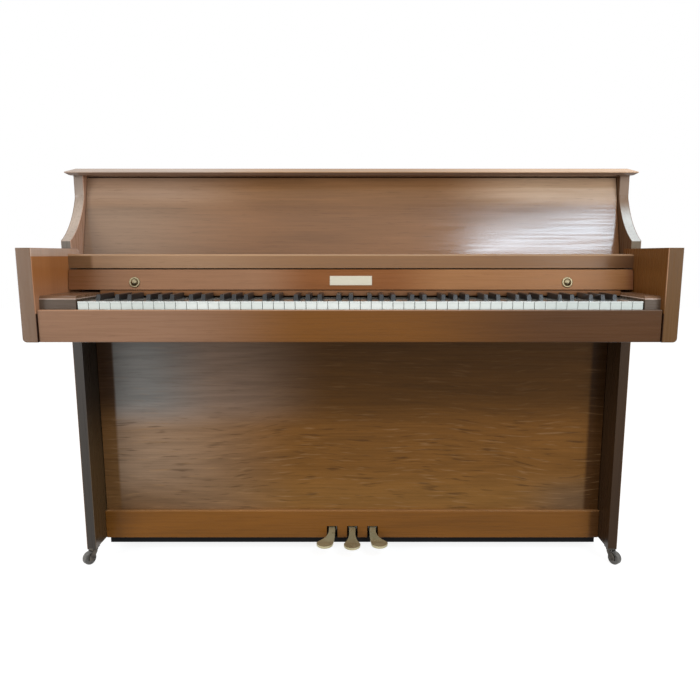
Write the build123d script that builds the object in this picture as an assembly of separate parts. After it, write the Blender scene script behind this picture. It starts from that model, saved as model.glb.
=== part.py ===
from build123d import *
import os
from math import asin, atan2, cos, degrees, hypot, radians, sin, tan

# A console upright piano. Millimetres, X to the player's right, Y to the back, Z up from the floor.

# Case widths
SIDE_THICKNESS = 24.0
ARM_THICKNESS = 33.0
PANEL_END_GAP = 1.0
BOTTOM_BOARD_END_GAP = 7.0
OVERCUT = 1.0

# Keyboard
KEYBOARD_WIDTH = 1225.0
BASS_END_WIDTH = 82.2
TREBLE_END_WIDTH = 36.8
KEY_END_GAP = 3.0
WHITE_COUNT = 52
NOTE_COUNT = 88
KEY_GAP = 1.0
NOTCH_GAP = 2.2
KEY_LENGTH = 400.0
KEY_HEIGHT = 24.0
KEYTOP_THICKNESS = 2.6
KEYTOP_LIP = 1.3
WHITE_HEAD_LENGTH = 50.0
BLACK_KEY_LENGTH = 95.0
BLACK_KEY_WIDTH = 10.6
BLACK_TOP_WIDTH = 8.8
BLACK_FRONT_SLOPE = 5.0
BLACK_RISE = 12.0
BALANCE_DISTANCE = 214.5
BALANCE_BEAD_RADIUS = 5.0
KEY_REST_GAP = 0.3
FRONT_RAIL_INSET = 7.0
FRONT_RAIL_DEPTH = 50.0
KEY_DIP_ROOM = 13.0
BALANCE_RAIL_DEPTH = 40.0
BALANCE_BEAD_SUNK = 2.0
BACK_RAIL_DEPTH = 26.0
BACK_RAIL_INSET = 2.0
WHITE_NAMES = "ABCDEFG"
FIRST_WHITE = "A"
BLACK_SHIFT = {"A": 3.0, "C": -2.0, "D": 2.0, "F": -3.0, "G": 0.0}

# Depths, from the front of the arms to the back
KEYSLIP_SETBACK = 5.0
KEYSLIP_THICKNESS = 13.0
KEYSLIP_END_GAP = 2.0
KEY_FRONT_GAP = 2.5
STRIP_GAP = 1.5
STRIP_DEPTH = 15.0
APRON_SETBACK = 9.0
APRON_THICKNESS = 18.0
APRON_LEAN = 7.0
SHELF_SETBACK = 13.0
SHELF_DEPTH = 117.0
ARM_LENGTH = 258.0
CHEEK_TOE = 23.0
CHEEK_SETBACK = 33.0
PANEL_RECESS = 91.0
PANEL_THICKNESS = 15.0
TOE_LEDGE = 12.0
BOTTOM_BOARD_SETBACK = 9.0
STRING_SETBACK = 72.5
BASS_STRING_LEAD = 4.0
PLATE_GAP = 4.0
PLATE_THICKNESS = 12.0
SOUNDBOARD_GAP = 12.0
SOUNDBOARD_THICKNESS = 8.0
RIB_DEPTH = 16.0
RIB_CLEARANCE = 2.0
POST_DEPTH = 60.0

# Heights, from the floor up
WHEEL_RADIUS = 17.5
FORK_TOP_GAP = 1.6
FORK_CROWN = 4.0
SWIVEL_GAP = 0.4
SOCKET_THICKNESS = 3.0
BOTTOM_BOARD_DROP = 19.0
BOTTOM_BOARD_THICKNESS = 17.0
TOE_BOARD_HEIGHT = 78.0
KNEE_HEIGHT = 584.0
KEYBED_THICKNESS = 32.0
KEY_FRAME_HEIGHT = 31.0
KEYSLIP_HEIGHT = 70.0
STRIP_LIFT = 4.0
STRIP_HEIGHT = 12.0
APRON_CLEARANCE = 2.0
APRON_HEIGHT = 47.0
SLIDE_PANEL_THICKNESS = 12.0
SHELF_GAP = 3.0
SHELF_FRONT_HEIGHT = 30.0
SHELF_BOARD_THICKNESS = 16.0
SHELF_BEAD_RADIUS = 3.0
ARM_HEIGHT = 201.0
UPPER_HEIGHT = 182.0

# Cheek sweep and small rounding of the case
CHEEK_TOE_HEIGHT = 19.0
CHEEK_STRAIGHT = 52.0
CHEEK_HOLLOW = 14.0
CHEEK_BLEND = 30.0
ARM_CORNER = 9.0
ARM_EDGE = 2.0
SLIP_EDGE = 2.5
BLOCK_NOSE = 9.0

# Music desk
DESK_LEAN = 16.9
DESK_THICKNESS = 16.0
DESK_TOP_GAP = 2.0

# Lid and its hinges
LID_OVERHANG = 12.0
LID_FRONT_OVERHANG = 30.0
LID_COVE = 9.0
LID_COVE_HEIGHT = 5.0
LID_NOSE = 2.0
LID_BEVEL_WIDTH = 22.0
LID_BEVEL_HEIGHT = 10.0
HINGE_SPACING = 500.0
HINGE_WIDTH = 70.0
HINGE_KNUCKLE_RADIUS = 3.5
HINGE_PIN_RADIUS = 1.5
HINGE_LEAF = 2.0
HINGE_LEAF_HEIGHT = 18.0
HINGE_MIDDLE = 29.0
HINGE_SIDE_GAP = 0.5
RUNNING_CLEARANCE = 0.05

# Fallboard
APRON_END_GAP = 1.5
APRON_CORNER = 5.0
FALLBOARD_REACH = 193.0
TRACK_WIDTH = 16.0
TRACK_GROOVE = 8.0
TRACK_LEDGE = 12.0
TRACK_START = 3.0
SLIDE_GAP = 0.3
KNOB_INSET = 158.5
KNOB_RADIUS = 12.7
KNOB_DOME_RADIUS = 8.0
KNOB_BASE = 3.0
KNOB_DOME = 9.0
KNOB_GROOVE = 1.2
KNOB_HEIGHT = 17.0
NAMEPLATE_LENGTH = 100.0
NAMEPLATE_HEIGHT = 22.0
NAMEPLATE_THICKNESS = 1.2
NAMEPLATE_CENTRE = 21.0

# Pedals and lift rods
PEDAL_SPACING = 56.0
PEDAL_SLOT_WIDTH = 29.0
PEDAL_SLOT_HEIGHT = 33.0
PEDAL_PIVOT_SETBACK = 33.0
PEDAL_PIVOT_HEIGHT = 24.0
PEDAL_TAIL = 10.0
PEDAL_REACH = 77.0
OUTER_PEDAL_REACH = 67.0
PEDAL_NECK_WIDTH = 17.0
PEDAL_HEAD_WIDTH = 45.0
PEDAL_HEAD_LENGTH = 58.0
PEDAL_TIP_LENGTH = 20.0
PEDAL_LEAN = 18.0
PEDAL_NECK_PULL = 0.6
PEDAL_HEAD_PULL = 0.3
PEDAL_SLOPE_START = 6.0
PEDAL_THICKNESS = 12.0
PEDAL_TIP_THICKNESS = 6.0
PEDAL_HEAD_DROP = 25.0
PEDAL_TIP_DROP = 28.0
PEDAL_PIN_RADIUS = 4.0
BRACKET_GAP = 0.5
BRACKET_WALL = 3.0
BRACKET_DEPTH = 24.0
BRACKET_BASE = 4.0
BRACKET_ABOVE_PIN = 6.0
ROD_RADIUS = 5.0
ROD_SETBACK = 26.5
ROD_HOLE_GAP = 1.0
ROD_ABOVE_KEYBED = 40.0
ROD_GAP = 0.3

# Casters
WHEEL_WIDTH = 14.0
WHEEL_EDGE = 2.0
HUB_RADIUS = 6.0
WHEEL_DISH = 1.5
AXLE_RADIUS = 2.5
CASTER_TRAIL = 15.0
FORK_WALL = 2.5
FORK_SIDE_GAP = 0.6
FORK_CROWN_RADIUS = 11.0
STEM_RADIUS = 4.0
STEM_LENGTH = 18.0
SOCKET_LENGTH = 26.0
FRONT_CASTER_SETBACK = 14.0
REAR_CASTER_INSET = 38.0
FRONT_CASTER_TURN = 55.0

# Back frame, soundboard and plate
POST_WIDTH = 85.0
POST_COUNT = 5
POST_INSET = 16.0
SILL_HEIGHT = 66.0
TOP_RAIL_HEIGHT = 77.0
BOARD_END_GAP = 1.0
RIB_COUNT = 9
RIB_WIDTH = 22.0
RIB_TILT = 28.0
RIB_TRIM = 40.0
PLATE_END_GAP = 26.0
PLATE_BOTTOM = 100.0
PLATE_TOP_GAP = 7.0
PLATE_RIM = 34.0
PIN_FIELD = 95.0
STRUT_WIDTH = 24.0
STRUT_NOTES = (38, 56, 73)
PLATE_CORNER = 18.0

# Strings, bridges and tuning pins
BASS_COUNT = 26
STRING_THICKNESS = 1.2
BASS_SLOPE = 0.75
TREBLE_SLOPE = -0.10
STRING_BOTTOM = 150.0
TREBLE_SHRINK = 0.15
PIN_SIZE = 6.5
PIN_LENGTH = 26.0
PIN_FIRST_ROW = 20.0
PIN_ROW_STEP = 15.0
STRING_PIN_GAP = 0.5
BRIDGE_WIDTH = 24.0
BRIDGE_ABOVE_END = 40.0
BRIDGE_STRUT_GAP = 4.0
BRIDGE_WINDOW = 8.0
BRIDGE_STRING_GAP = 0.5

# Action
HAMMER_PIVOT_SETBACK = 36.0
HAMMER_PIVOT_HEIGHT = 80.0
HAMMER_LENGTH = 112.0
HAMMER_WIDTH = 9.0
HAMMER_BUTT_RADIUS = 6.0
HAMMER_BUTT_HEIGHT = 14.0
SHANK_THICKNESS = 5.0
HEAD_BACK = 8.0
HEAD_HALF_HEIGHT = 9.0
LET_OFF = 2.5
HAMMER_TILT = 22.0
REST_RAIL_REACH = 75.0
REST_RAIL_HEIGHT = 30.0
REST_RAIL_DEPTH = 12.0
ACTION_GAP = 0.3
MAIN_RAIL_DEPTH = 18.0
MAIN_RAIL_HEIGHT = 22.0
DAMPER_COUNT = 69
DAMPER_WIDTH = 8.0
DAMPER_PIVOT_SETBACK = 17.0
DAMPER_PIVOT_HEIGHT = 85.0
DAMPER_ROUND = 5.0
DAMPER_ARM = 52.0
DAMPER_HEAD_HEIGHT = 34.0
DAMPER_HEAD_DEPTH = 9.0
DAMPER_STRING_GAP = 0.3
DAMPER_RAIL_DEPTH = 12.0
DAMPER_RAIL_HEIGHT = 24.0
CROSSED_DAMPERS = 4
ACTION_BRACKET = 3.2
BRACKET_KEY_GAP = 6.0
ACTION_END_REACH = 6.0
ACTION_BREAKS = (0, 26, 57, 88)

# Places along X
arm_inner = (BASS_END_WIDTH + KEYBOARD_WIDTH + TREBLE_END_WIDTH) / 2
case_side = arm_inner + ARM_THICKNESS
side_inner = case_side - SIDE_THICKNESS
white_pitch = KEYBOARD_WIDTH / WHITE_COUNT
note_pitch = KEYBOARD_WIDTH / NOTE_COUNT
keys_left = BASS_END_WIDTH - arm_inner
keys_right = keys_left + KEYBOARD_WIDTH

# Places along Y, added up from the front and centred on the whole depth
depth_to_strings = (KEYSLIP_SETBACK + KEYSLIP_THICKNESS + KEY_FRONT_GAP + KEY_LENGTH + STRING_SETBACK)
depth_behind_strings = (PLATE_GAP + PLATE_THICKNESS + SOUNDBOARD_GAP + SOUNDBOARD_THICKNESS
                        + RIB_DEPTH + RIB_CLEARANCE + POST_DEPTH)
overall_depth = depth_to_strings + depth_behind_strings + 2 * HINGE_KNUCKLE_RADIUS
front = -overall_depth / 2
slip_front = front + KEYSLIP_SETBACK
slip_back = slip_front + KEYSLIP_THICKNESS
key_front = slip_back + KEY_FRONT_GAP
black_front = key_front + WHITE_HEAD_LENGTH
black_back = black_front + BLACK_KEY_LENGTH
strip_front = black_back + STRIP_GAP
strip_back = strip_front + STRIP_DEPTH
apron_front = strip_front + APRON_SETBACK
apron_back = apron_front + APRON_THICKNESS
shelf_front = apron_front + SHELF_SETBACK
desk_front = shelf_front + SHELF_DEPTH
balance_y = key_front + BALANCE_DISTANCE
key_tail = key_front + KEY_LENGTH
string_y = key_tail + STRING_SETBACK
bass_string_y = string_y - BASS_STRING_LEAD
plate_front = string_y + PLATE_GAP
plate_back = plate_front + PLATE_THICKNESS
board_front = plate_back + SOUNDBOARD_GAP
board_back = board_front + SOUNDBOARD_THICKNESS
post_front = board_back + RIB_DEPTH + RIB_CLEARANCE
case_back = post_front + POST_DEPTH
side_front = front + ARM_LENGTH
cheek_front = desk_front + CHEEK_SETBACK
panel_front = side_front + PANEL_RECESS
panel_back = panel_front + PANEL_THICKNESS
toe_front = panel_front - TOE_LEDGE
keybed_back = string_y - HAMMER_PIVOT_SETBACK + MAIN_RAIL_DEPTH / 2
pedal_pivot_y = panel_back + PEDAL_PIVOT_SETBACK
rod_y = key_tail + ROD_SETBACK

# Places along Z
side_bottom = 2 * WHEEL_RADIUS + FORK_TOP_GAP + FORK_CROWN + SWIVEL_GAP + SOCKET_THICKNESS
bottom_board_low = side_bottom - BOTTOM_BOARD_DROP
bottom_board_top = bottom_board_low + BOTTOM_BOARD_THICKNESS
toe_top = bottom_board_top + TOE_BOARD_HEIGHT
keybed_low = side_bottom + KNEE_HEIGHT
keybed_top = keybed_low + KEYBED_THICKNESS
key_low = keybed_top + KEY_FRAME_HEIGHT
key_top = key_low + KEY_HEIGHT
black_top = key_top + BLACK_RISE
strip_low = key_top + STRIP_LIFT
strip_top = strip_low + STRIP_HEIGHT
apron_low = strip_top + APRON_CLEARANCE
apron_top = apron_low + APRON_HEIGHT
slide_low = apron_top - SLIDE_PANEL_THICKNESS
shelf_low = apron_top + SHELF_GAP
shelf_top = shelf_low + SHELF_FRONT_HEIGHT
arm_top = keybed_low + ARM_HEIGHT
lid_low = arm_top + UPPER_HEIGHT
lid_top = lid_low + LID_COVE_HEIGHT + LID_NOSE + LID_BEVEL_HEIGHT
balance_axis_z = key_low - KEY_REST_GAP - BALANCE_BEAD_RADIUS
pedal_pivot_z = bottom_board_top + PEDAL_PIVOT_HEIGHT
hammer_y = string_y - HAMMER_PIVOT_SETBACK
hammer_z = keybed_top + HAMMER_PIVOT_HEIGHT
strike_z = hammer_z + HAMMER_LENGTH
damper_y = string_y - DAMPER_PIVOT_SETBACK
damper_z = keybed_top + DAMPER_PIVOT_HEIGHT
hinge_y = case_back + HINGE_KNUCKLE_RADIUS


def block(x0, x1, y0, y1, z0, z1):
    """A box between two corners."""
    centre = Pos((x0 + x1) / 2, (y0 + y1) / 2, (z0 + z1) / 2)
    return centre * Box(x1 - x0, y1 - y0, z1 - z0)


def prism_x(face, x0, x1):
    """A face drawn as (Y, Z), drawn out along X."""
    return extrude(Plane.YZ.offset(x0) * face, amount=x1 - x0)


def prism_y(face, y0, y1):
    """A face drawn as (X, Z), drawn out along Y."""
    return extrude(Plane.XZ.offset(-y1) * face, amount=y1 - y0)


def prism_z(face, z0, z1):
    """A face drawn as (X, Y), drawn out along Z."""
    return extrude(Plane.XY.offset(z0) * face, amount=z1 - z0)


def polygon(*points):
    """A flat face with straight edges."""
    return make_face(Polyline(*points, close=True))


def rod_x(radius, x0, x1, y, z):
    """A round bar along X."""
    return Pos((x0 + x1) / 2, y, z) * Rot(Y=90) * Cylinder(radius, x1 - x0)


def rod_z(radius, x, y, z0, z1):
    """A round bar along Z."""
    return Pos(x, y, (z0 + z1) / 2) * Cylinder(radius, z1 - z0)


def group(solids):
    """Separate solids that share one node."""
    return Compound(children=list(solids))


def mirrored(shape):
    """The same piece for the other end of the case."""
    return mirror(shape, about=Plane.YZ)


# Case

def caster_places():
    """Casters as (end, hand, sign of X, swivel X, swivel Y)."""
    x = case_side - SIDE_THICKNESS / 2
    rows = [("front", side_front + FRONT_CASTER_SETBACK), ("rear", case_back - REAR_CASTER_INSET)]
    return [(end, name, sign, sign * x, y) for end, y in rows for name, sign in (("left", -1), ("right", 1))]


def right_side():
    """Side panel: leg below, cheek with a hollow sweep above the arm."""
    toe = side_front - CHEEK_TOE
    toe_top_z = arm_top + CHEEK_TOE_HEIGHT
    straight_z = lid_low - CHEEK_STRAIGHT
    sweep_start = (cheek_front, straight_z)
    sweep_end = (toe, toe_top_z)
    span = hypot(cheek_front - toe, straight_z - toe_top_z)
    along = ((cheek_front - toe) / span, (straight_z - toe_top_z) / span)
    middle = ((cheek_front + toe) / 2 + along[1] * CHEEK_HOLLOW,
              (straight_z + toe_top_z) / 2 - along[0] * CHEEK_HOLLOW)
    outline = Polyline((toe, toe_top_z), (toe, arm_top), (side_front, arm_top), (side_front, side_bottom),
                       (case_back, side_bottom), (case_back, lid_low), (cheek_front, lid_low), sweep_start)
    face = make_face(outline + ThreePointArc(sweep_start, middle, sweep_end))
    corner = face.vertices().sort_by_distance((cheek_front, straight_z, 0))[0]
    panel = prism_x(fillet(corner, CHEEK_BLEND), side_inner, case_side)
    for _, _, sign, x, y in caster_places():
        if sign > 0:
            bore = STEM_RADIUS + RUNNING_CLEARANCE
            panel -= rod_z(bore, x, y, side_bottom - OVERCUT, side_bottom + STEM_LENGTH + OVERCUT)
    return panel


def right_arm():
    """Arm beside the keyboard, with a rounded lower corner outside."""
    arm = block(arm_inner, case_side, front, side_front, keybed_low, arm_top)
    long_edges = arm.edges().filter_by(Axis.Y)
    low_outer = long_edges.sort_by_distance((case_side, 0, keybed_low))[0]
    arm = fillet(low_outer, ARM_CORNER)
    front_edges = arm.edges().group_by(Axis.Y)[0]
    return fillet(front_edges, ARM_EDGE)


def keybed():
    """Board under the keys, narrower between the arms, with holes for the lift rods."""
    outline = polygon((-arm_inner, slip_back), (arm_inner, slip_back), (arm_inner, side_front),
                      (side_inner, side_front), (side_inner, keybed_back), (-side_inner, keybed_back),
                      (-side_inner, side_front), (-arm_inner, side_front))
    board = prism_z(outline, keybed_low, keybed_top)
    for x in pedal_places():
        board -= rod_z(ROD_RADIUS + ROD_HOLE_GAP, x, rod_y, keybed_low - OVERCUT, keybed_top + OVERCUT)
    return board


def keyslip():
    """Rail in front of the keys."""
    end = arm_inner - KEYSLIP_END_GAP
    slip = block(-end, end, slip_front, slip_back, keybed_low, keybed_low + KEYSLIP_HEIGHT)
    front_edges = slip.faces().sort_by(Axis.Y)[0].edges().filter_by(Axis.X)
    return fillet(front_edges, SLIP_EDGE)


def key_block(x0, x1):
    """Block that closes one end of the keyboard, with a rounded nose."""
    piece = block(x0, x1, key_front, strip_back, keybed_top, black_top)
    nose = piece.edges().filter_by(Axis.X).sort_by_distance((x0, key_front, black_top))[0]
    return fillet(nose, BLOCK_NOSE)


def music_shelf():
    """Shelf with a deep front rail and a rounded lip along its top."""
    rail_back = shelf_front + APRON_THICKNESS
    desk_seat = desk_front + DESK_THICKNESS / cos(radians(DESK_LEAN))
    profile = polygon((shelf_front, shelf_low), (rail_back, shelf_low),
                      (rail_back, shelf_top - SHELF_BOARD_THICKNESS),
                      (desk_seat, shelf_top - SHELF_BOARD_THICKNESS), (desk_seat, shelf_top),
                      (shelf_front, shelf_top))
    shelf = prism_x(profile, -arm_inner, arm_inner)
    end = side_inner - PANEL_END_GAP
    shelf += block(-end, end, side_front, desk_seat, shelf_top - SHELF_BOARD_THICKNESS, shelf_top)
    return shelf + rod_x(SHELF_BEAD_RADIUS, -arm_inner, arm_inner, shelf_front + SHELF_BEAD_RADIUS, shelf_top)


def music_desk():
    """Leaning upper panel that carries the sheet music."""
    low = shelf_top
    high = lid_low - DESK_TOP_GAP
    shift = (high - low) * tan(radians(DESK_LEAN))
    width = DESK_THICKNESS / cos(radians(DESK_LEAN))
    profile = polygon((desk_front, low), (desk_front + width, low),
                      (desk_front + width + shift, high), (desk_front + shift, high))
    return prism_x(profile, PANEL_END_GAP - side_inner, side_inner - PANEL_END_GAP)


def key_strip():
    """Rail that closes the gap behind the keys, fixed between the key blocks."""
    end = KEY_END_GAP
    return block(keys_left - end, keys_right + end, strip_front, strip_back, strip_low, strip_top)


def lower_panel():
    """Knee panel, standing on the toe board."""
    end = side_inner - PANEL_END_GAP
    return block(-end, end, panel_front, panel_back, toe_top, keybed_low - DESK_TOP_GAP)


def pedal_places():
    return [-PEDAL_SPACING, 0.0, PEDAL_SPACING]


def toe_board():
    """Bottom rail with a slot for each pedal, open below."""
    board = block(-side_inner, side_inner, toe_front, panel_back, bottom_board_top, toe_top)
    for x in pedal_places():
        half = PEDAL_SLOT_WIDTH / 2
        board -= block(x - half, x + half, toe_front - OVERCUT, panel_back + OVERCUT,
                       bottom_board_top - OVERCUT, bottom_board_top + PEDAL_SLOT_HEIGHT)
    return board


def bottom_board():
    """Black board under the toe board, cut short in front of the rear casters."""
    end = side_inner - BOTTOM_BOARD_END_GAP
    sweep = CASTER_TRAIL + WHEEL_RADIUS + WHEEL_WIDTH / 2
    back = case_back - REAR_CASTER_INSET - sweep
    return block(-end, end, toe_front + BOTTOM_BOARD_SETBACK, back, bottom_board_low, bottom_board_top)


# Lid

def lid():
    """Lid with a cove under a thin nose and a wide bevel above it, on the front and both ends."""
    end = case_side + LID_OVERHANG
    nose_front = cheek_front - LID_FRONT_OVERHANG
    levels = [(LID_COVE, 0.0), (0.0, LID_COVE_HEIGHT), (0.0, LID_COVE_HEIGHT + LID_NOSE),
              (LID_BEVEL_WIDTH, lid_top - lid_low)]
    rings = []
    for inset, rise in levels:
        ring = Rectangle(2 * (end - inset), case_back - nose_front - inset)
        rings.append(Pos(0, (case_back + nose_front + inset) / 2, lid_low + rise) * ring)
    layers = [loft([low, high], ruled=True) for low, high in zip(rings, rings[1:])]
    return layers[0] + layers[1] + layers[2]


def hinge_places():
    return [-HINGE_SPACING, 0.0, HINGE_SPACING]


def hinge_fixed(x):
    """Lower leaf on the back rail, with two knuckles and the pin."""
    half = HINGE_WIDTH / 2
    inner = HINGE_MIDDLE / 2 + HINGE_SIDE_GAP
    low_edge = lid_low - HINGE_KNUCKLE_RADIUS - HINGE_SIDE_GAP
    leaf = block(x - half, x + half, case_back, case_back + HINGE_LEAF, low_edge - HINGE_LEAF_HEIGHT, low_edge)
    for a, b in ((x - half, x - inner), (x + inner, x + half)):
        leaf += block(a, b, case_back, case_back + HINGE_LEAF, low_edge, lid_low)
        leaf += rod_x(HINGE_KNUCKLE_RADIUS, a, b, hinge_y, lid_low)
    return leaf + rod_x(HINGE_PIN_RADIUS, x - half, x + half, hinge_y, lid_low)


def hinge_moving(x):
    """Upper leaf on the back edge of the lid, with the middle knuckle."""
    half = HINGE_WIDTH / 2
    inner = HINGE_MIDDLE / 2
    edge = lid_low + HINGE_KNUCKLE_RADIUS + HINGE_SIDE_GAP
    leaf = block(x - half, x + half, case_back, case_back + HINGE_LEAF, edge, lid_top - HINGE_LEAF)
    leaf += block(x - inner, x + inner, case_back, case_back + HINGE_LEAF, lid_low, edge)
    leaf += rod_x(HINGE_KNUCKLE_RADIUS, x - inner, x + inner, hinge_y, lid_low)
    return leaf - rod_x(HINGE_PIN_RADIUS + RUNNING_CLEARANCE, x - half, x + half, hinge_y, lid_low)


# Fallboard

def apron_place(x, height):
    """A plane on the leaning front of the apron, its normal pointing out to the player."""
    y = apron_front + APRON_LEAN * height / APRON_HEIGHT
    return Plane(origin=(x, y, apron_low + height), x_dir=(1, 0, 0), z_dir=(0, -APRON_HEIGHT, APRON_LEAN))


def fallboard_apron():
    """Front board of the fallboard, leaning back, with rounded upper corners."""
    end = arm_inner - APRON_END_GAP
    profile = polygon((apron_front, apron_low), (apron_back, apron_low), (apron_back, apron_top),
                      (apron_front + APRON_LEAN, apron_top))
    board = prism_x(profile, -end, end)
    corners = board.edges().filter_by(Axis.Y).group_by(Axis.Z)[-1]
    return fillet(corners, APRON_CORNER)


def fallboard_panel():
    """Thin panel behind the apron that slides under the music shelf."""
    end = arm_inner - TRACK_WIDTH + TRACK_GROOVE - SLIDE_GAP
    return block(-end, end, apron_back, apron_back + FALLBOARD_REACH, slide_low, apron_top)


def fallboard_track():
    """Grooved runner on the right arm that carries the edge of the sliding panel."""
    inner = arm_inner - TRACK_WIDTH
    start = apron_back + TRACK_START
    end = apron_back + FALLBOARD_REACH
    runner = block(inner, arm_inner, start, end, slide_low - TRACK_LEDGE, shelf_low)
    groove = block(inner - OVERCUT, inner + TRACK_GROOVE, start - OVERCUT, end + OVERCUT,
                   slide_low - SLIDE_GAP, apron_top + SLIDE_GAP)
    return runner - groove


def fallboard_knob(x):
    """Ringed knob: flat rim, groove and dome."""
    rise = KNOB_DOME - KNOB_BASE
    ball = (KNOB_DOME_RADIUS ** 2 + rise ** 2) / (2 * rise)
    half_turn = asin(KNOB_DOME_RADIUS / ball) / 2
    shoulder = (ball * sin(half_turn), KNOB_DOME - ball + ball * cos(half_turn))
    outline = Polyline((0, KNOB_DOME), (0, 0), (KNOB_RADIUS, 0), (KNOB_RADIUS, KNOB_BASE - KNOB_GROOVE),
                       (KNOB_RADIUS - KNOB_GROOVE, KNOB_BASE), (KNOB_DOME_RADIUS + KNOB_GROOVE, KNOB_BASE),
                       (KNOB_DOME_RADIUS, KNOB_BASE - KNOB_GROOVE), (KNOB_DOME_RADIUS, KNOB_BASE))
    dome = ThreePointArc((KNOB_DOME_RADIUS, KNOB_BASE), shoulder, (0, KNOB_DOME))
    half = make_face(outline + dome)
    return apron_place(x, KNOB_HEIGHT) * revolve(Plane.XZ * half, Axis.Z)


def nameplate():
    """Small bare plate in the middle of the apron."""
    plate = Pos(0, 0, NAMEPLATE_THICKNESS / 2) * Box(NAMEPLATE_LENGTH, NAMEPLATE_HEIGHT, NAMEPLATE_THICKNESS)
    return apron_place(0, NAMEPLATE_CENTRE) * plate


# Keyboard

def white_name(index):
    start = WHITE_NAMES.index(FIRST_WHITE)
    return WHITE_NAMES[(start + index) % len(WHITE_NAMES)]


def black_centre(index):
    """Centre of the black key to the right of a white key, or None where there is none."""
    name = white_name(index)
    if index < 0 or index >= WHITE_COUNT - 1 or name not in BLACK_SHIFT:
        return None
    return keys_left + (index + 1) * white_pitch + BLACK_SHIFT[name]


def white_plan(index, key_start):
    """Outline of a white key from above, notched beside its black neighbours."""
    x0 = keys_left + index * white_pitch + KEY_GAP / 2
    x1 = x0 + white_pitch - KEY_GAP
    notch = black_front - NOTCH_GAP
    room = BLACK_KEY_WIDTH / 2 + KEY_GAP
    points = [(x0, key_start), (x1, key_start)]
    if black_centre(index) is None:
        points += [(x1, key_tail)]
    else:
        right = black_centre(index) - room
        points += [(x1, notch), (right, notch), (right, key_tail)]
    if black_centre(index - 1) is None:
        points += [(x0, key_tail)]
    else:
        left = black_centre(index - 1) + room
        points += [(left, key_tail), (left, notch), (x0, notch)]
    return polygon(*points)


def white_key(index):
    """White key whose top overhangs its front a little."""
    top_low = key_top - KEYTOP_THICKNESS
    stick = prism_z(white_plan(index, key_front + KEYTOP_LIP), key_low, top_low)
    return stick + prism_z(white_plan(index, key_front), top_low, key_top)


def black_key(index):
    """Black key: a stick with a raised, tapered cap."""
    x = black_centre(index)
    half = BLACK_KEY_WIDTH / 2
    stick = block(x - half, x + half, black_front, key_tail, key_low, key_top - KEYTOP_THICKNESS)
    base = Rectangle(BLACK_KEY_WIDTH, BLACK_KEY_LENGTH)
    crown = Rectangle(BLACK_TOP_WIDTH, BLACK_KEY_LENGTH - BLACK_FRONT_SLOPE)
    low = Pos(x, (black_front + black_back) / 2, key_top - KEYTOP_THICKNESS) * base
    high = Pos(x, (black_front + black_back + BLACK_FRONT_SLOPE) / 2, black_top) * crown
    return stick + loft([low, high], ruled=True)


def note_order():
    """Every note from the bass up, as (colour, place among its colour, index of its white key)."""
    notes = []
    for index in range(WHITE_COUNT):
        notes.append(("white", index, index))
        if black_centre(index) is not None:
            blacks = sum(1 for note in notes if note[0] == "black")
            notes.append(("black", blacks, index))
    return notes


def key_frame():
    """Front, balance and back rails under the keys."""
    rail_front = key_front + FRONT_RAIL_INSET
    rail_top = key_low - KEY_DIP_ROOM
    front_rail = block(keys_left, keys_right, rail_front, rail_front + FRONT_RAIL_DEPTH, keybed_top, rail_top)
    half = BALANCE_RAIL_DEPTH / 2
    seat = balance_axis_z - BALANCE_BEAD_RADIUS + BALANCE_BEAD_SUNK
    balance = block(keys_left, keys_right, balance_y - half, balance_y + half, keybed_top, seat)
    balance += rod_x(BALANCE_BEAD_RADIUS, keys_left, keys_right, balance_y, balance_axis_z)
    rail_back = key_tail - BACK_RAIL_INSET
    rest_top = key_low - KEY_REST_GAP
    back_rail = block(keys_left, keys_right, rail_back - BACK_RAIL_DEPTH, rail_back, keybed_top, rest_top)
    return group([front_rail, balance, back_rail])


# Strung back

def note_x(note):
    return keys_left + (note + 0.5) * note_pitch


def string_slope(note):
    return BASS_SLOPE if note < BASS_COUNT else TREBLE_SLOPE


def string_x(note, z):
    """Place of a string at a height: all strings pass their hammer at the strike line."""
    return note_x(note) + string_slope(note) * (strike_z - z)


def string_end(note):
    """Lower end of a string; treble strings shorten steadily."""
    if note < BASS_COUNT:
        return STRING_BOTTOM
    share = (note - BASS_COUNT) / (NOTE_COUNT - 1 - BASS_COUNT)
    return strike_z - (strike_z - STRING_BOTTOM) * TREBLE_SHRINK ** share


def string_plane(note):
    return bass_string_y if note < BASS_COUNT else string_y


def pin_height(note):
    rows = 2 if note < BASS_COUNT else 4
    return pin_field_low() + PIN_FIRST_ROW + PIN_ROW_STEP * (note % rows)


def plate_high():
    return lid_low - PLATE_TOP_GAP


def pin_field_low():
    return plate_high() - PIN_FIELD


def tuning_pin(note):
    z = pin_height(note)
    x = string_x(note, z)
    half = PIN_SIZE / 2
    return block(x - half, x + half, plate_front - PIN_LENGTH, plate_front, z - half, z + half)


def string(note):
    """One wire from just under its tuning pin to its lower end."""
    angle = atan2(string_slope(note), 1)
    high = pin_height(note) - (PIN_SIZE / 2 + STRING_PIN_GAP)
    low = string_end(note)
    length = (high - low) / cos(angle)
    middle = (high + low) / 2
    wire = Box(STRING_THICKNESS, STRING_THICKNESS, length)
    return Pos(string_x(note, middle), string_plane(note), middle) * Rot(Y=-degrees(angle)) * wire


def treble_curve(rise):
    """A smooth line through the lower ends of the treble strings, raised."""
    last = NOTE_COUNT - 1
    picks = [BASS_COUNT + round((last - BASS_COUNT) * share) for share in (0, 0.2, 0.4, 0.6, 0.8, 1)]
    return [(string_x(note, string_end(note)), string_end(note) + rise) for note in picks]


def strut_places():
    return [note_x(note) for note in STRUT_NOTES]


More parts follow.
